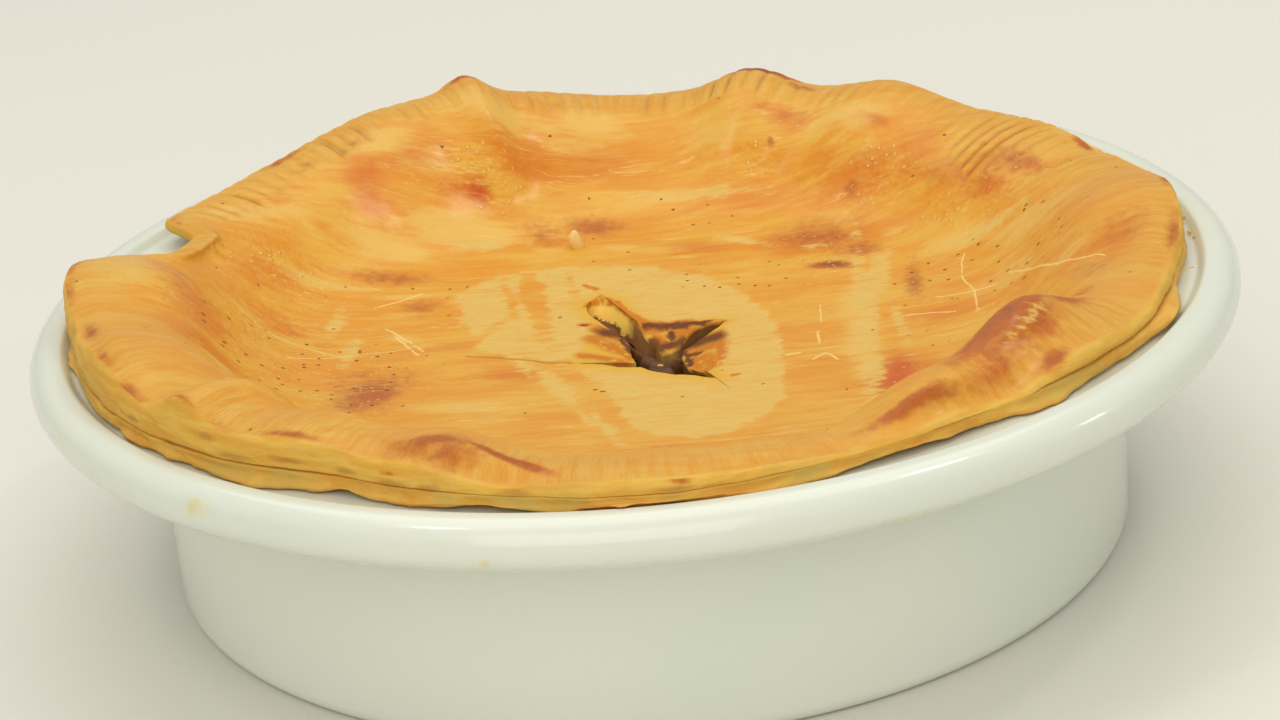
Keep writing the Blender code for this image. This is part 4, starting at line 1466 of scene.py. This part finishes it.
def lid_fields(nominal, angle, share, place, fields):
    """Paints the fields of one vertex of the lid."""
    x, y = place.x / MM, place.y / MM
    on_top = share >= 1.0
    height = rim_height(angle) - RIM_Z + LID_THICK
    outward = nominal if on_top else EDGE + (1.0 - share) * height
    near_vent = math.hypot(x, y) < VENT_REACH_MM
    from_vent = polygon_depth(x, y, VENT_MM) if near_vent else -VENT_REACH_MM
    halo = math.exp(-((from_vent / HALO_WIDTH_MM) ** 2)) if from_vent < 0.0 else 1.0
    bare = max(polygon_depth(x, y, BARE_PATCH), ellipse_depth(x, y, BARE_MARKS))
    bare = min(bare, -ellipse_depth(x, y, GLAZED_AGAIN))
    flap = 1.0 if vent_sag(Vector((place.x, place.y))) > 0.1 * MM else 0.0
    brown = ellipse_field(x, y, BROWN_MARKS)
    for at, width, radius, across, strength in RIM_BROWN:
        off = (outward - radius) / across
        if abs(off) < 2.5:
            brown = max(brown, strength * bump(angle, at, width) * math.exp(-off * off))
    side = ease(*SIDE_FADE, nominal) if on_top else 1.0
    if nominal <= HUB_RADIUS:
        side = 0.0
    rim = ease(*RIM_FADE, nominal) * (1.0 - side)
    crack = side_crack_shade(angle, place.z) if side > 0.5 else 0.0
    inside = 1.0 - share if nominal <= HOLE_NOMINAL * 1.001 and not on_top else 0.0
    # The fork marks' depth and the side's cracks set the painted shade of the grooves
    fork = 0.8 * fork_mark(nominal, angle) / FORK_DEPTH if on_top else 0.0
    fields["bare"].append(max(-DEEPEST_MM, min(DEEPEST_MM, bare)))
    fields["brown"].append(brown)
    fields["red"].append(ellipse_field(x, y, RED_MARKS))
    fields["pale"].append(ellipse_field(x, y, PALE_MARKS))
    fields["deep"].append(ellipse_field(x, y, DEEP_MARKS))
    fields["halo"].append(max(halo, flap))
    fields["cut"].append(inside)
    fields["cut_shade"].append(cut_shade(x, y, angle) if inside > 0.0 else 0.0)
    fields["side"].append(side)
    fields["rim"].append(rim * (0.55 + 0.45 * noise.noise(place * 40.0)))
    fields["groove_shade"].append(max(fork, crack))
    fields["glazed"].append(0.0 if bare > 0.0 or nominal > CRIMP_START else 1.0)
    fields["bubbly"].append(ellipse_field(x, y, BUBBLY_AND_GLINT_MARKS))
    fields["speckled"].append(ellipse_field(x, y, SPECKLED))


# Rows of the lid's top: from, to and spacing in mm
LID_ROWS = (
    (10.0, 16.0, 0.6),
    (16.0, 45.0, 1.05),
    (45.0, 92.0, 1.15),
    (92.0, 121.0, 0.85),
    (121.0, 126.8, 0.58),
)
LID_SIDE_ROWS = 14
FINE_RIM_FROM = 91.9 * MM


def build_lid(crust):
    """The lid: a bowl with the vent in its middle, and a finely crimped rim."""
    profile = [(HOLE_NOMINAL, 1.0)]
    for first, last, spacing in LID_ROWS:
        profile += [(radius * MM, 1.0) for radius in evenly(first, last, spacing)[1:]]
    for row in range(1, LID_SIDE_ROWS):
        share = 1.0 - row / LID_SIDE_ROWS
        round_out = 1.0 - abs(2.0 * share - 1.0) ** 3
        profile.append((SHOULDER + (EDGE - SHOULDER) * round_out, share))
    underside = [126.6, 123.0, 117.0, 114.0, 109.5, 106.0, 100.0, 88.0, 70.0, 45.0, 30.0, 18.0, 10.0]
    profile += [(radius * MM, 0.0) for radius in underside]
    profile += [(HOLE_NOMINAL, share) for share in (0.2, 0.4, 0.6, 0.8)]
    bm = spun(profile, crust.steps, closed=True)
    step = 360.0 / crust.steps
    round_edges = []
    for edge in bm.edges:
        near, far = edge.verts
        level = abs(near.co.z - far.co.z) < 1e-9 and near.co.z > 0.01
        radius = math.hypot(near.co.x, near.co.y)
        if level and radius > FINE_RIM_FROM and abs(radius - math.hypot(far.co.x, far.co.y)) < 1e-7:
            round_edges.append(edge)
    bmesh.ops.subdivide_edges(bm, edges=round_edges, cuts=1, use_grid_fill=True)
    names = ("bare", "brown", "red", "pale", "deep", "halo", "cut", "cut_shade", "side", "rim")
    names += ("groove_shade", "glazed", "bubbly", "speckled")
    fields = {name: [] for name in names}
    for vert in bm.verts:
        share = vert.co.z
        radius, angle = polar(vert.co)
        angle = round(angle, 5)
        off = math.radians(angle % step - step / 2.0)
        nominal = radius * math.cos(off) / math.cos(math.radians(step / 2.0))
        vert.co = lid_place(nominal, angle, share)
        lid_fields(nominal, angle, share, vert.co, fields)
    return finished(bm, "lid_crust", "pastry_lid", crust_finish(crust), fields, 75.0)


# Where the lower strip lifts off the flange: angle, half-width in degrees, lift
COLLAR_LIFTS = (
    (240.5, 1.6, 1.1 * MM),
    (255.5, 3.4, 1.3 * MM),
    (295.0, 5.0, 1.2 * MM),
)
# Lobes that hang from the lower strip: angle, half-width in degrees, reach
COLLAR_LOBES = (
    (230.0, 7.0, 3.6 * MM),
    (213.0, 3.0, 2.6 * MM),
    (189.0, 4.0, 2.4 * MM),
    (246.0, 5.0, 1.6 * MM),
    (268.0, 9.0, 2.6 * MM),
    (282.0, 6.0, 2.0 * MM),
    (311.0, 4.5, 3.6 * MM),
    (298.0, 2.5, 1.6 * MM),
    (218.8, 1.6, 1.6 * MM),
    (231.0, 1.4, 0.8 * MM),
    (237.0, 1.0, 0.9 * MM),
    (247.0, 1.2, 0.7 * MM),
    (264.4, 0.9, 1.3 * MM),
    (267.4, 0.9, 1.5 * MM),
    (286.0, 1.2, 0.6 * MM),
    (308.5, 1.2, 1.0 * MM),
    (204.0, 2.0, 0.9 * MM),
)


def build_collar(crust):
    """The lower strip of pastry that lies on the dish's flange."""
    profile = [(COLLAR_INNER, 0.0)] + [(radius * MM, 0.0) for radius in evenly(120.0, 126.4, 1.1)]
    outer = [(126.9, 0.05), (127.5, 0.14), (127.9, 0.26), (128.0, 0.38), (128.0, 0.5)]
    outer += [(127.9, 0.62), (127.7, 0.74), (127.3, 0.86), (126.8, 0.95), (126.2, 1.0)]
    profile += [(radius * MM, height) for radius, height in outer]
    profile += [(radius * MM, 1.0) for radius in (124.0, 121.0)] + [(COLLAR_INNER, 0.8)]
    steps = round(COLLAR_SWEEP / crust.collar_step)
    bm = spun(profile, steps, COLLAR_FROM, COLLAR_SWEEP, closed=True)
    brown, cracks = [], []
    for vert in bm.verts:
        share = vert.co.z
        nominal, angle = polar(vert.co)
        angle = round(angle, 5)
        spoke = on_circle(1.0, angle)
        outer_part = ease(COLLAR_INNER, EDGE, nominal)
        fold = CORNER_FOLD[2] * bump(angle, CORNER_FOLD[0], CORNER_FOLD[1])
        lobe = sum(reach * bump(angle, at, width) for at, width, reach in COLLAR_LOBES)
        lift = sum(rise * bump(angle, at, width) for at, width, rise in COLLAR_LIFTS)
        low = max(0.0, 1.0 - share * 2.2)
        ragged = 0.5 * MM * noise.noise(spoke * 22.0) + 0.35 * MM * noise.noise(spoke * 60.0)
        radius = real_radius(nominal, angle) + (COLLAR_LAP * furrow(angle) + fold) * outer_part
        radius += outer_part * low * (lobe + ragged)
        filled = ease(0.62, 0.8, share) * (1.0 - furrow(angle))
        radius += outer_part * filled * max(0.0, EDGE - nominal)
        radius = min(radius, COLLAR_REACH)
        foot = FLANGE_Z + GAP + (DISH_HEIGHT - FLANGE_Z) * ease(*BEAD_CLIMB, radius)
        top = collar_top(angle) + 0.85 * GAP * ease(COLLAR_FREE, 125.0 * MM, nominal)
        height = foot + (top - foot) * share
        height += lift * low * ease(COLLAR_FREE, 126.0 * MM, nominal)
        radius = min(radius + outer_part * side_bump(spoke, height), COLLAR_REACH + 0.1 * MM)
        vert.co = on_circle(radius, angle, min(height, top))
        brown.append(0.45 * min(1.0, lobe / (2.0 * MM)) * low + 0.3 * bump(angle, 265.0, 4.0) * low)
        # The side's cracks, as painted shade
        cracks.append(side_crack_shade(angle, height))
    bmesh.ops.holes_fill(bm, edges=[edge for edge in bm.edges if edge.is_boundary])
    fields = {"brown": brown, "groove_shade": cracks}
    finish = edge_finish(crust)
    return finished(bm, "lower_crust_strip", "pastry_collar", finish, fields, 75.0)


def build_filling(filling):
    """The filling: it fills the dish up to the lid and swells up into the vent."""
    radii = evenly(0.0, 46.0, 0.9) + [52.0, 60.0, 68.0, 76.0, 82.0, 88.0, 93.0, 97.0]
    edge = INNER_RADIUS - GAP
    corner = FLOOR_CORNER - GAP
    profile = [(radius * MM, 1.0) for radius in radii] + [(edge, 1.0)]
    profile += arc((INNER_RADIUS - FLOOR_CORNER, FLOOR_TOP + FLOOR_CORNER), corner, 0.0, -90.0, 4)
    profile += [(0.0, FLOOR_TOP + GAP)]
    bm = spun(profile, filling.steps)
    for vert in bm.verts:
        if vert.co.z < 0.9:
            continue
        radius, angle = polar(vert.co)
        under = bowl_height(radius, angle) - LID_THICK - FILL_GAP
        settled = ease(FILL_SUNK_RADIUS, HUB_RADIUS, radius)
        place = Vector((vert.co.x, vert.co.y, 0.02))
        lumps = sum(rise * noise.noise(place * waves) for rise, waves in FILL_LUMPS)
        mound = 0.0
        if radius < HUB_RADIUS:
            inside = polygon_depth(vert.co.x / MM, vert.co.y / MM, VENT_MM)
            mound = filling.mound * ease(-0.6, 3.4, inside)
        sunk = FILL_MIDDLE + lumps
        height = sunk + (under - sunk) * settled
        if mound > 0.0:
            height = max(height, FILL_MIDDLE + mound + lumps)
        vert.co.z = min(height, FILL_LEVEL)
    return finished(bm, "meat_filling", "filling", filling_finish(filling), None, 80.0)


def lid_top(x, y):
    """Height of the lid's top near a point of its middle."""
    flat = Vector((x, y))
    radius, angle = polar(flat)
    return bowl_height(radius, angle) + swell(radius, angle, flat) - vent_sag(flat)


# The film of gravy on the left flap: its middle, half-sizes in mm and turn in degrees
GRAVY_POOL = (-5.4, 10.6, 3.0, 1.8, 128.0)
GRAVY_DOME = 0.30 * MM
GRAVY_SUNK = 0.10 * MM
GRAVY_SKIN = 0.15 * MM


def build_gravy(filling):
    """A thin pool of gravy that lies on the vent's left flap."""
    middle_x, middle_y, half_length, half_width, turn = GRAVY_POOL
    bm = bmesh.new()
    bmesh.ops.create_circle(bm, cap_ends=True, segments=40, radius=1.0)
    for _ in range(6):
        cap = max(bm.faces, key=lambda face: len(face.verts))
        bmesh.ops.inset_region(bm, faces=[cap], thickness=0.15, use_even_offset=True)
    for vert in bm.verts:
        reach = min(vert.co.length, 1.0)
        vert.co *= 1.0 + 0.22 * noise.noise(vert.co.normalized() * 2.3 + Vector((3.0, 1.0, 0.0)))
        vert.co.z = 1.0 - reach**4
    size = Matrix.Diagonal((half_length * MM, half_width * MM, GRAVY_DOME, 1.0))
    turned = Matrix.Rotation(math.radians(turn), 4, "Z") @ size
    bmesh.ops.transform(bm, matrix=turned, verts=bm.verts)
    for vert in bm.verts:
        x, y = vert.co.x + middle_x * MM, vert.co.y + middle_y * MM
        vert.co = (x, y, lid_top(x, y) + vert.co.z - GRAVY_SUNK)
    bmesh.ops.solidify(bm, geom=bm.verts[:] + bm.edges[:] + bm.faces[:], thickness=GRAVY_SKIN)
    return finished(bm, "gravy_pool", None, gravy_finish(filling), None, 80.0)


# Crumbs: x, y, resting height and half-sizes in mm, turn in degrees, lean to the left, paleness.
# The first is the pale grain behind the vent.
CRUMBS = (
    (-12.7, 67.0, 46.2, 1.9, 1.3, 3.2, 20.0, -0.30, 1.0),
    (130.2, 5.4, 62.4, 0.5, 0.4, 0.35, 20.0, 0.0, 0.0),
    (129.6, 2.0, 62.2, 0.35, 0.3, 0.3, 70.0, 0.0, 0.0),
    (129.9, -4.6, 62.2, 0.6, 0.45, 0.4, 140.0, 0.0, 0.0),
    (130.3, -8.0, 62.3, 0.35, 0.3, 0.3, 10.0, 0.0, 0.0),
    (-117.5, 36.5, 61.9, 0.5, 0.4, 0.35, 60.0, 0.0, 0.0),
    (5.0, -4.4, 41.6, 0.8, 0.35, 0.3, 160.0, 0.0, 0.0),
    (96.0, -88.5, 62.2, 0.5, 0.35, 0.3, 30.0, 0.0, 0.0),
)
# The thin fibre of pastry at the right edge: radius, angle and height of its start
FIBRE_START = (126.9 * MM, 345.0, 64.3 * MM)
FIBRE_RADIUS = 0.14 * MM
FIBRE_BENDS = 7


def tilt_about(place, tilt):
    """A place with a tilt applied about it."""
    return Matrix.Translation(place.translation) @ tilt @ place.to_3x3().to_4x4()


def build_crumbs(crust):
    """Crumbs on the flange, the pale grain on the lid and a thin fibre of pastry."""
    bm = bmesh.new()
    paleness = []
    for index, (x, y, floor, length, width, height, turn, lean, pale) in enumerate(CRUMBS):
        made = bmesh.ops.create_icosphere(bm, subdivisions=2, radius=1.0)["verts"]
        for vert in made:
            vert.co *= 1.0 + 0.35 * noise.noise(vert.co * 1.7 + Vector((index * 7.0, 0.0, 0.0)))
        place = Matrix.Translation(Vector((x, y, floor + height * 0.8)) * MM)
        place = place @ Matrix.Rotation(math.radians(turn), 4, "Z")
        size = Matrix.Diagonal((length * MM, width * MM, height * MM, 1.0))
        tilt = Matrix.Shear("XY", 4, (lean, 0.0))
        bmesh.ops.transform(bm, matrix=tilt_about(place, tilt) @ size, verts=made)
        paleness += [pale] * len(made)
    ring = bmesh.ops.create_circle(bm, cap_ends=True, segments=6, radius=FIBRE_RADIUS)["verts"]
    turned = Matrix.Translation(on_circle(*FIBRE_START)) @ Matrix.Rotation(math.radians(90.0), 4, "Y")
    bmesh.ops.transform(bm, matrix=turned, verts=ring)
    face = next(face for face in bm.faces if set(face.verts) == set(ring))
    for bend in range(FIBRE_BENDS):
        made = bmesh.ops.extrude_face_region(bm, geom=[face])["geom"]
        verts = [item for item in made if isinstance(item, bmesh.types.BMVert)]
        face = next(item for item in made if isinstance(item, bmesh.types.BMFace))
        along = on_circle(0.5 * MM, -15.0 + 9.0 * bend, (0.16 - 0.05 * bend) * MM)
        bmesh.ops.translate(bm, vec=along, verts=verts)
    paleness += [0.0] * (len(bm.verts) - len(paleness))
    return finished(bm, "crumbs", None, crumb_finish(crust), {"pale": paleness}, 80.0)


# Camera of the photograph, aimed at a point over the dish's middle
IMAGE_WIDTH = 1280.0
FOCAL_PIXELS = 3404.0
CAMERA_DISTANCE = 0.805
CAMERA_AIM_HEIGHT = 0.030
CAMERA_RISE = 22.57
CAMERA_ROLL = 5.47
AIM_OFFSET_PIXELS = (2.9, 46.9)
SENSOR_WIDTH = 36.0


def build_camera():
    """The camera at the photograph's viewing angle."""
    rise, roll = math.radians(CAMERA_RISE), math.radians(CAMERA_ROLL)
    right = Vector((1.0, 0.0, 0.0))
    up = Vector((0.0, math.sin(rise), math.cos(rise)))
    back = Vector((0.0, -math.cos(rise), math.sin(rise)))
    across, down = -AIM_OFFSET_PIXELS[0], -AIM_OFFSET_PIXELS[1]
    cosine, sine = math.cos(roll), math.sin(roll)
    across, down = cosine * across - sine * down, sine * across + cosine * down
    axis_z = -(right * across / FOCAL_PIXELS - up * down / FOCAL_PIXELS - back).normalized()
    axis_y = right * sine + up * cosine
    axis_y = (axis_y - axis_z * axis_y.dot(axis_z)).normalized()
    axis_x = axis_y.cross(axis_z)
    made = bpy.data.cameras.new("Camera")
    made.sensor_width = SENSOR_WIDTH
    made.lens = FOCAL_PIXELS / IMAGE_WIDTH * SENSOR_WIDTH
    made.clip_start = 0.01
    camera = bpy.data.objects.new("Camera", made)
    turned = Matrix((axis_x, axis_y, axis_z)).transposed().to_4x4()
    place = Vector((0.0, 0.0, CAMERA_AIM_HEIGHT)) + back * CAMERA_DISTANCE
    camera.matrix_world = Matrix.Translation(place) @ turned
    bpy.context.scene.collection.objects.link(camera)
    bpy.context.scene.camera = camera


# Lamps: name, direction round the pie, height in degrees, distance, size in metres, watts
LAMPS = (
    ("Overhead", 90.0, 72.0, 1.6, 1.5, 11.5),
    ("Front fill", 262.0, 32.0, 1.8, 1.4, 12.5),
    ("Left window", 198.0, 66.0, 1.5, 0.16, 1.0),
    ("Right window", 8.0, 63.0, 1.5, 0.16, 1.7),
    ("Low right", -4.0, 24.0, 1.5, 0.14, 0.8),
)


def build_lamps(stage):
    """Soft studio lamps that look at the pie."""
    for name, turn, rise, distance, size, watts in LAMPS:
        lamp = bpy.data.lights.new(name, "AREA")
        lamp.shape = "SQUARE"
        lamp.size = size
        lamp.energy = watts * stage.lamps
        lamp.color = stage.lamp_colour
        holder = bpy.data.objects.new(name, lamp)
        level = distance * math.cos(math.radians(rise))
        place = on_circle(level, turn, distance * math.sin(math.radians(rise)))
        holder.location = place
        holder.rotation_euler = (-place).to_track_quat("-Z", "Y").to_euler()
        bpy.context.scene.collection.objects.link(holder)


def build_floor(stage):
    """The pale table top that the dish stands on."""
    bm = bmesh.new()
    bmesh.ops.create_circle(bm, cap_ends=True, segments=96, radius=stage.floor_radius)
    mesh = bpy.data.meshes.new("table_top")
    bm.to_mesh(mesh)
    bm.free()
    mesh.materials.append(floor_finish(stage))
    floor = bpy.data.objects.new("table_top", mesh)
    bpy.context.scene.collection.objects.link(floor)


def colour_property(name, description, default):
    """A colour that a user may change."""
    return bpy.props.FloatVectorProperty(
        name=name, description=description, subtype="COLOR", size=3, min=0.0, max=1.0, default=default
    )


class PieDishSettings(bpy.types.PropertyGroup):
    """Settings of the dish."""

    steps: bpy.props.IntProperty(
        name="Steps", description="Steps round the dish", default=256, min=48, max=512
    )
    roughness: bpy.props.FloatProperty(
        name="Roughness",
        description="Roughness of the glaze",
        default=0.24,
        min=0.0,
        max=1.0,
        subtype="FACTOR",
    )
    glaze: colour_property("Glaze", "White glaze", (0.74, 0.76, 0.66))
    glaze_cool: colour_property("Cool glaze", "Faintly cooler places of the glaze", (0.70, 0.74, 0.64))
    egg: colour_property("Egg wash", "Thin stains of egg wash on the dish", (0.72, 0.62, 0.26))


class PieCrustSettings(bpy.types.PropertyGroup):
    """Settings of the pastry."""

    steps: bpy.props.IntProperty(
        name="Steps", description="Spokes of the lid in its middle", default=336, min=84, max=504
    )
    collar_step: bpy.props.FloatProperty(
        name="Strip step",
        description="Step of the lower strip in degrees",
        default=0.5,
        min=0.2,
        max=4.0,
    )
    roughness: bpy.props.FloatProperty(
        name="Roughness",
        description="Roughness of the glazed crust",
        default=0.44,
        min=0.0,
        max=1.0,
        subtype="FACTOR",
    )
    gloss: bpy.props.FloatProperty(
        name="Gloss",
        description="Clear gloss of the egg glaze",
        default=0.22,
        min=0.0,
        max=1.0,
        subtype="FACTOR",
    )
    glaze: colour_property("Glaze", "Orange egg glaze", (0.71, 0.288, 0.021))
    glaze_pale: colour_property("Pale glaze", "Thin yellow egg glaze", (0.73, 0.390, 0.045))
    deep: colour_property("Deep glaze", "Deeper orange glaze", (0.63, 0.175, 0.008))
    deep_red: colour_property("Deep orange", "Strongly baked spots", (0.56, 0.105, 0.008))
    browned: colour_property("Browned", "Browned places", (0.43, 0.100, 0.014))
    bare: colour_property("Bare", "Pastry without glaze", (0.70, 0.480, 0.140))
    bare_warm: colour_property("Warm bare", "Warmer streaks of bare pastry", (0.70, 0.425, 0.095))
    oiled: colour_property("Oiled", "Yellow pastry round the vent", (0.70, 0.385, 0.030))
    rim_pale: colour_property("Pale rim", "Ridges of the fork marks", (0.71, 0.430, 0.100))
    rim_dark: colour_property("Dark rim", "Between the ridges of the rim", (0.68, 0.310, 0.038))
    # Painted shade of the fork marks' bottoms, the side's cracks and the knife's line
    groove_shade: colour_property("Groove", "Bottom of the fork marks", (0.40, 0.17, 0.035))
    side: colour_property("Side", "Plain side of the crust", (0.74, 0.450, 0.082))
    # Painted shade between the side's layers
    side_layer_shade: colour_property("Dark side", "Deeper layers of the side", (0.68, 0.350, 0.050))
    low: colour_property("Lower strip", "Plain lower strip", (0.74, 0.440, 0.078))
    # Painted shade between the lower strip's layers
    strip_layer_shade: colour_property("Dark strip", "Deeper layers of the lower strip", (0.67, 0.335, 0.046))
    pale: colour_property("Palest glaze", "Glaze that barely took colour", (0.74, 0.450, 0.092))
    # Painted highlight: the colour of the glints painted on the blisters
    painted_glint: colour_property("Glint", "Blisters of the glaze that catch the light", (0.93, 0.58, 0.17))
    burnt: colour_property("Burnt", "The darkest baked places", (0.27, 0.070, 0.022))
    side_olive: colour_property("Olive side", "Cooler places of the side", (0.60, 0.385, 0.075))
    # Pale oiled pastry of the cut faces, painted brighter than the rest as painted light on the shaded
    # walls
    cut: colour_property("Cut face", "Oiled pastry on the vent's cut faces", (0.93, 0.60, 0.115))
    stained: colour_property("Stained", "Pastry stained by gravy", (0.56, 0.160, 0.009))
    # Gravy-soaked pastry; the same colour is the painted shade on the vent's dark cut faces
    soaked_and_shade: colour_property("Soaked", "Pastry soaked by gravy", (0.130, 0.036, 0.014))
    speck: colour_property("Speck", "Dark specks", (0.15, 0.045, 0.008))
    crack: colour_property("Crack", "Pale cracks of the glaze", (0.85, 0.58, 0.20))


class PieFillingSettings(bpy.types.PropertyGroup):
    """Settings of the filling."""

    steps: bpy.props.IntProperty(
        name="Steps", description="Steps round the filling", default=180, min=48, max=360
    )
    mound: bpy.props.FloatProperty(
        name="Mound",
        description="How far the filling swells up into the vent",
        default=0.0055,
        subtype="DISTANCE",
    )
    gravy: colour_property("Gravy", "Dark gravy", (0.075, 0.026, 0.009))
    meat: colour_property("Meat", "Brown meat", (0.17, 0.066, 0.020))
    fibre: colour_property("Fibres", "Paler fibres of the meat", (0.38, 0.20, 0.11))
    film: colour_property("Film", "Thin film of gravy", (0.12, 0.045, 0.014))


class PieStageSettings(bpy.types.PropertyGroup):
    """Settings of the stage."""

    floor_radius: bpy.props.FloatProperty(
        name="Floor radius",
        description="Radius of the table top",
        default=6.0,
        min=1.0,
        subtype="DISTANCE",
    )
    lamps: bpy.props.FloatProperty(
        name="Lamps", description="Strength of all the lamps", default=1.0, min=0.0, soft_max=4.0
    )
    surroundings: bpy.props.FloatProperty(
        name="Surroundings",
        description="Strength of the pale surroundings",
        default=0.53,
        min=0.0,
        soft_max=4.0,
    )
    lamp_colour: colour_property("Lamp colour", "Colour of the lamps", (1.0, 0.97, 0.90))
    air: colour_property("Surroundings colour", "Colour of the surroundings", (0.93, 0.94, 0.90))
    floor: colour_property("Floor", "Table top", (0.77, 0.75, 0.69))
    floor_warm: colour_property("Warm floor", "Warmer places of the table top", (0.78, 0.755, 0.69))


class PIE_OT_add_dish(bpy.types.Operator):
    """Adds the white dish"""

    bl_idname = "pie.add_dish"
    bl_label = "Dish"

    def execute(self, context):
        build_dish(context.scene.pie_dish)
        return {"FINISHED"}


class PIE_OT_add_filling(bpy.types.Operator):
    """Adds the meat filling and the gravy on the flap"""

    bl_idname = "pie.add_filling"
    bl_label = "Filling"

    def execute(self, context):
        build_filling(context.scene.pie_filling)
        build_gravy(context.scene.pie_filling)
        return {"FINISHED"}


class PIE_OT_add_strip(bpy.types.Operator):
    """Adds the lower strip of pastry on the flange"""

    bl_idname = "pie.add_strip"
    bl_label = "Lower strip"

    def execute(self, context):
        build_collar(context.scene.pie_crust)
        return {"FINISHED"}


class PIE_OT_add_lid(bpy.types.Operator):
    """Adds the glazed pastry lid with its vent"""

    bl_idname = "pie.add_lid"
    bl_label = "Pastry lid"

    def execute(self, context):
        build_lid(context.scene.pie_crust)
        return {"FINISHED"}


class PIE_OT_add_crumbs(bpy.types.Operator):
    """Adds crumbs, the grain on the lid and the fibre"""

    bl_idname = "pie.add_crumbs"
    bl_label = "Crumbs"

    def execute(self, context):
        build_crumbs(context.scene.pie_crust)
        return {"FINISHED"}


class PIE_OT_add_stage(bpy.types.Operator):
    """Adds the table top, the soft lamps and the camera"""

    bl_idname = "pie.add_stage"
    bl_label = "Stage"

    def execute(self, context):
        stage = context.scene.pie_stage
        build_floor(stage)
        build_lamps(stage)
        build_camera()
        world = bpy.data.worlds.new("Surroundings")
        world.use_nodes = True
        air = world.node_tree.nodes["Background"]
        air.inputs["Color"].default_value = tint(stage.air)
        air.inputs["Strength"].default_value = stage.surroundings
        context.scene.world = world
        context.scene.view_settings.view_transform = "Standard"
        return {"FINISHED"}


class PIE_PT_panel(bpy.types.Panel):
    """Lists the pieces of the pie"""

    bl_label = "Kidney pie"
    bl_idname = "PIE_PT_panel"
    bl_space_type = "VIEW_3D"
    bl_region_type = "UI"
    bl_category = "Pie"

    def draw(self, context):
        layout = self.layout
        for operator in OPERATORS:
            layout.operator(operator.bl_idname)
        for group in ("pie_dish", "pie_crust", "pie_filling", "pie_stage"):
            settings = getattr(context.scene, group)
            box = layout.box()
            for name in settings.__annotations__:
                box.prop(settings, name)


OPERATORS = (
    PIE_OT_add_dish,
    PIE_OT_add_filling,
    PIE_OT_add_strip,
    PIE_OT_add_lid,
    PIE_OT_add_crumbs,
    PIE_OT_add_stage,
)
SETTINGS = {
    "pie_dish": PieDishSettings,
    "pie_crust": PieCrustSettings,
    "pie_filling": PieFillingSettings,
    "pie_stage": PieStageSettings,
}


def register():
    """Registers the settings, the operators and the panel."""
    for name, settings in SETTINGS.items():
        bpy.utils.register_class(settings)
        setattr(bpy.types.Scene, name, bpy.props.PointerProperty(type=settings))
    for operator in OPERATORS:
        bpy.utils.register_class(operator)
    bpy.utils.register_class(PIE_PT_panel)


def unregister():
    """Takes the panel, the operators and the settings away again."""
    bpy.utils.unregister_class(PIE_PT_panel)
    for operator in reversed(OPERATORS):
        bpy.utils.unregister_class(operator)
    for name, settings in SETTINGS.items():
        delattr(bpy.types.Scene, name)
        bpy.utils.unregister_class(settings)


def main():
    """Builds every piece and the stage."""
    register()
    bpy.ops.pie.add_dish()
    bpy.ops.pie.add_filling()
    bpy.ops.pie.add_strip()
    bpy.ops.pie.add_lid()
    bpy.ops.pie.add_crumbs()
    bpy.ops.pie.add_stage()


if __name__ == "__main__":
    main()
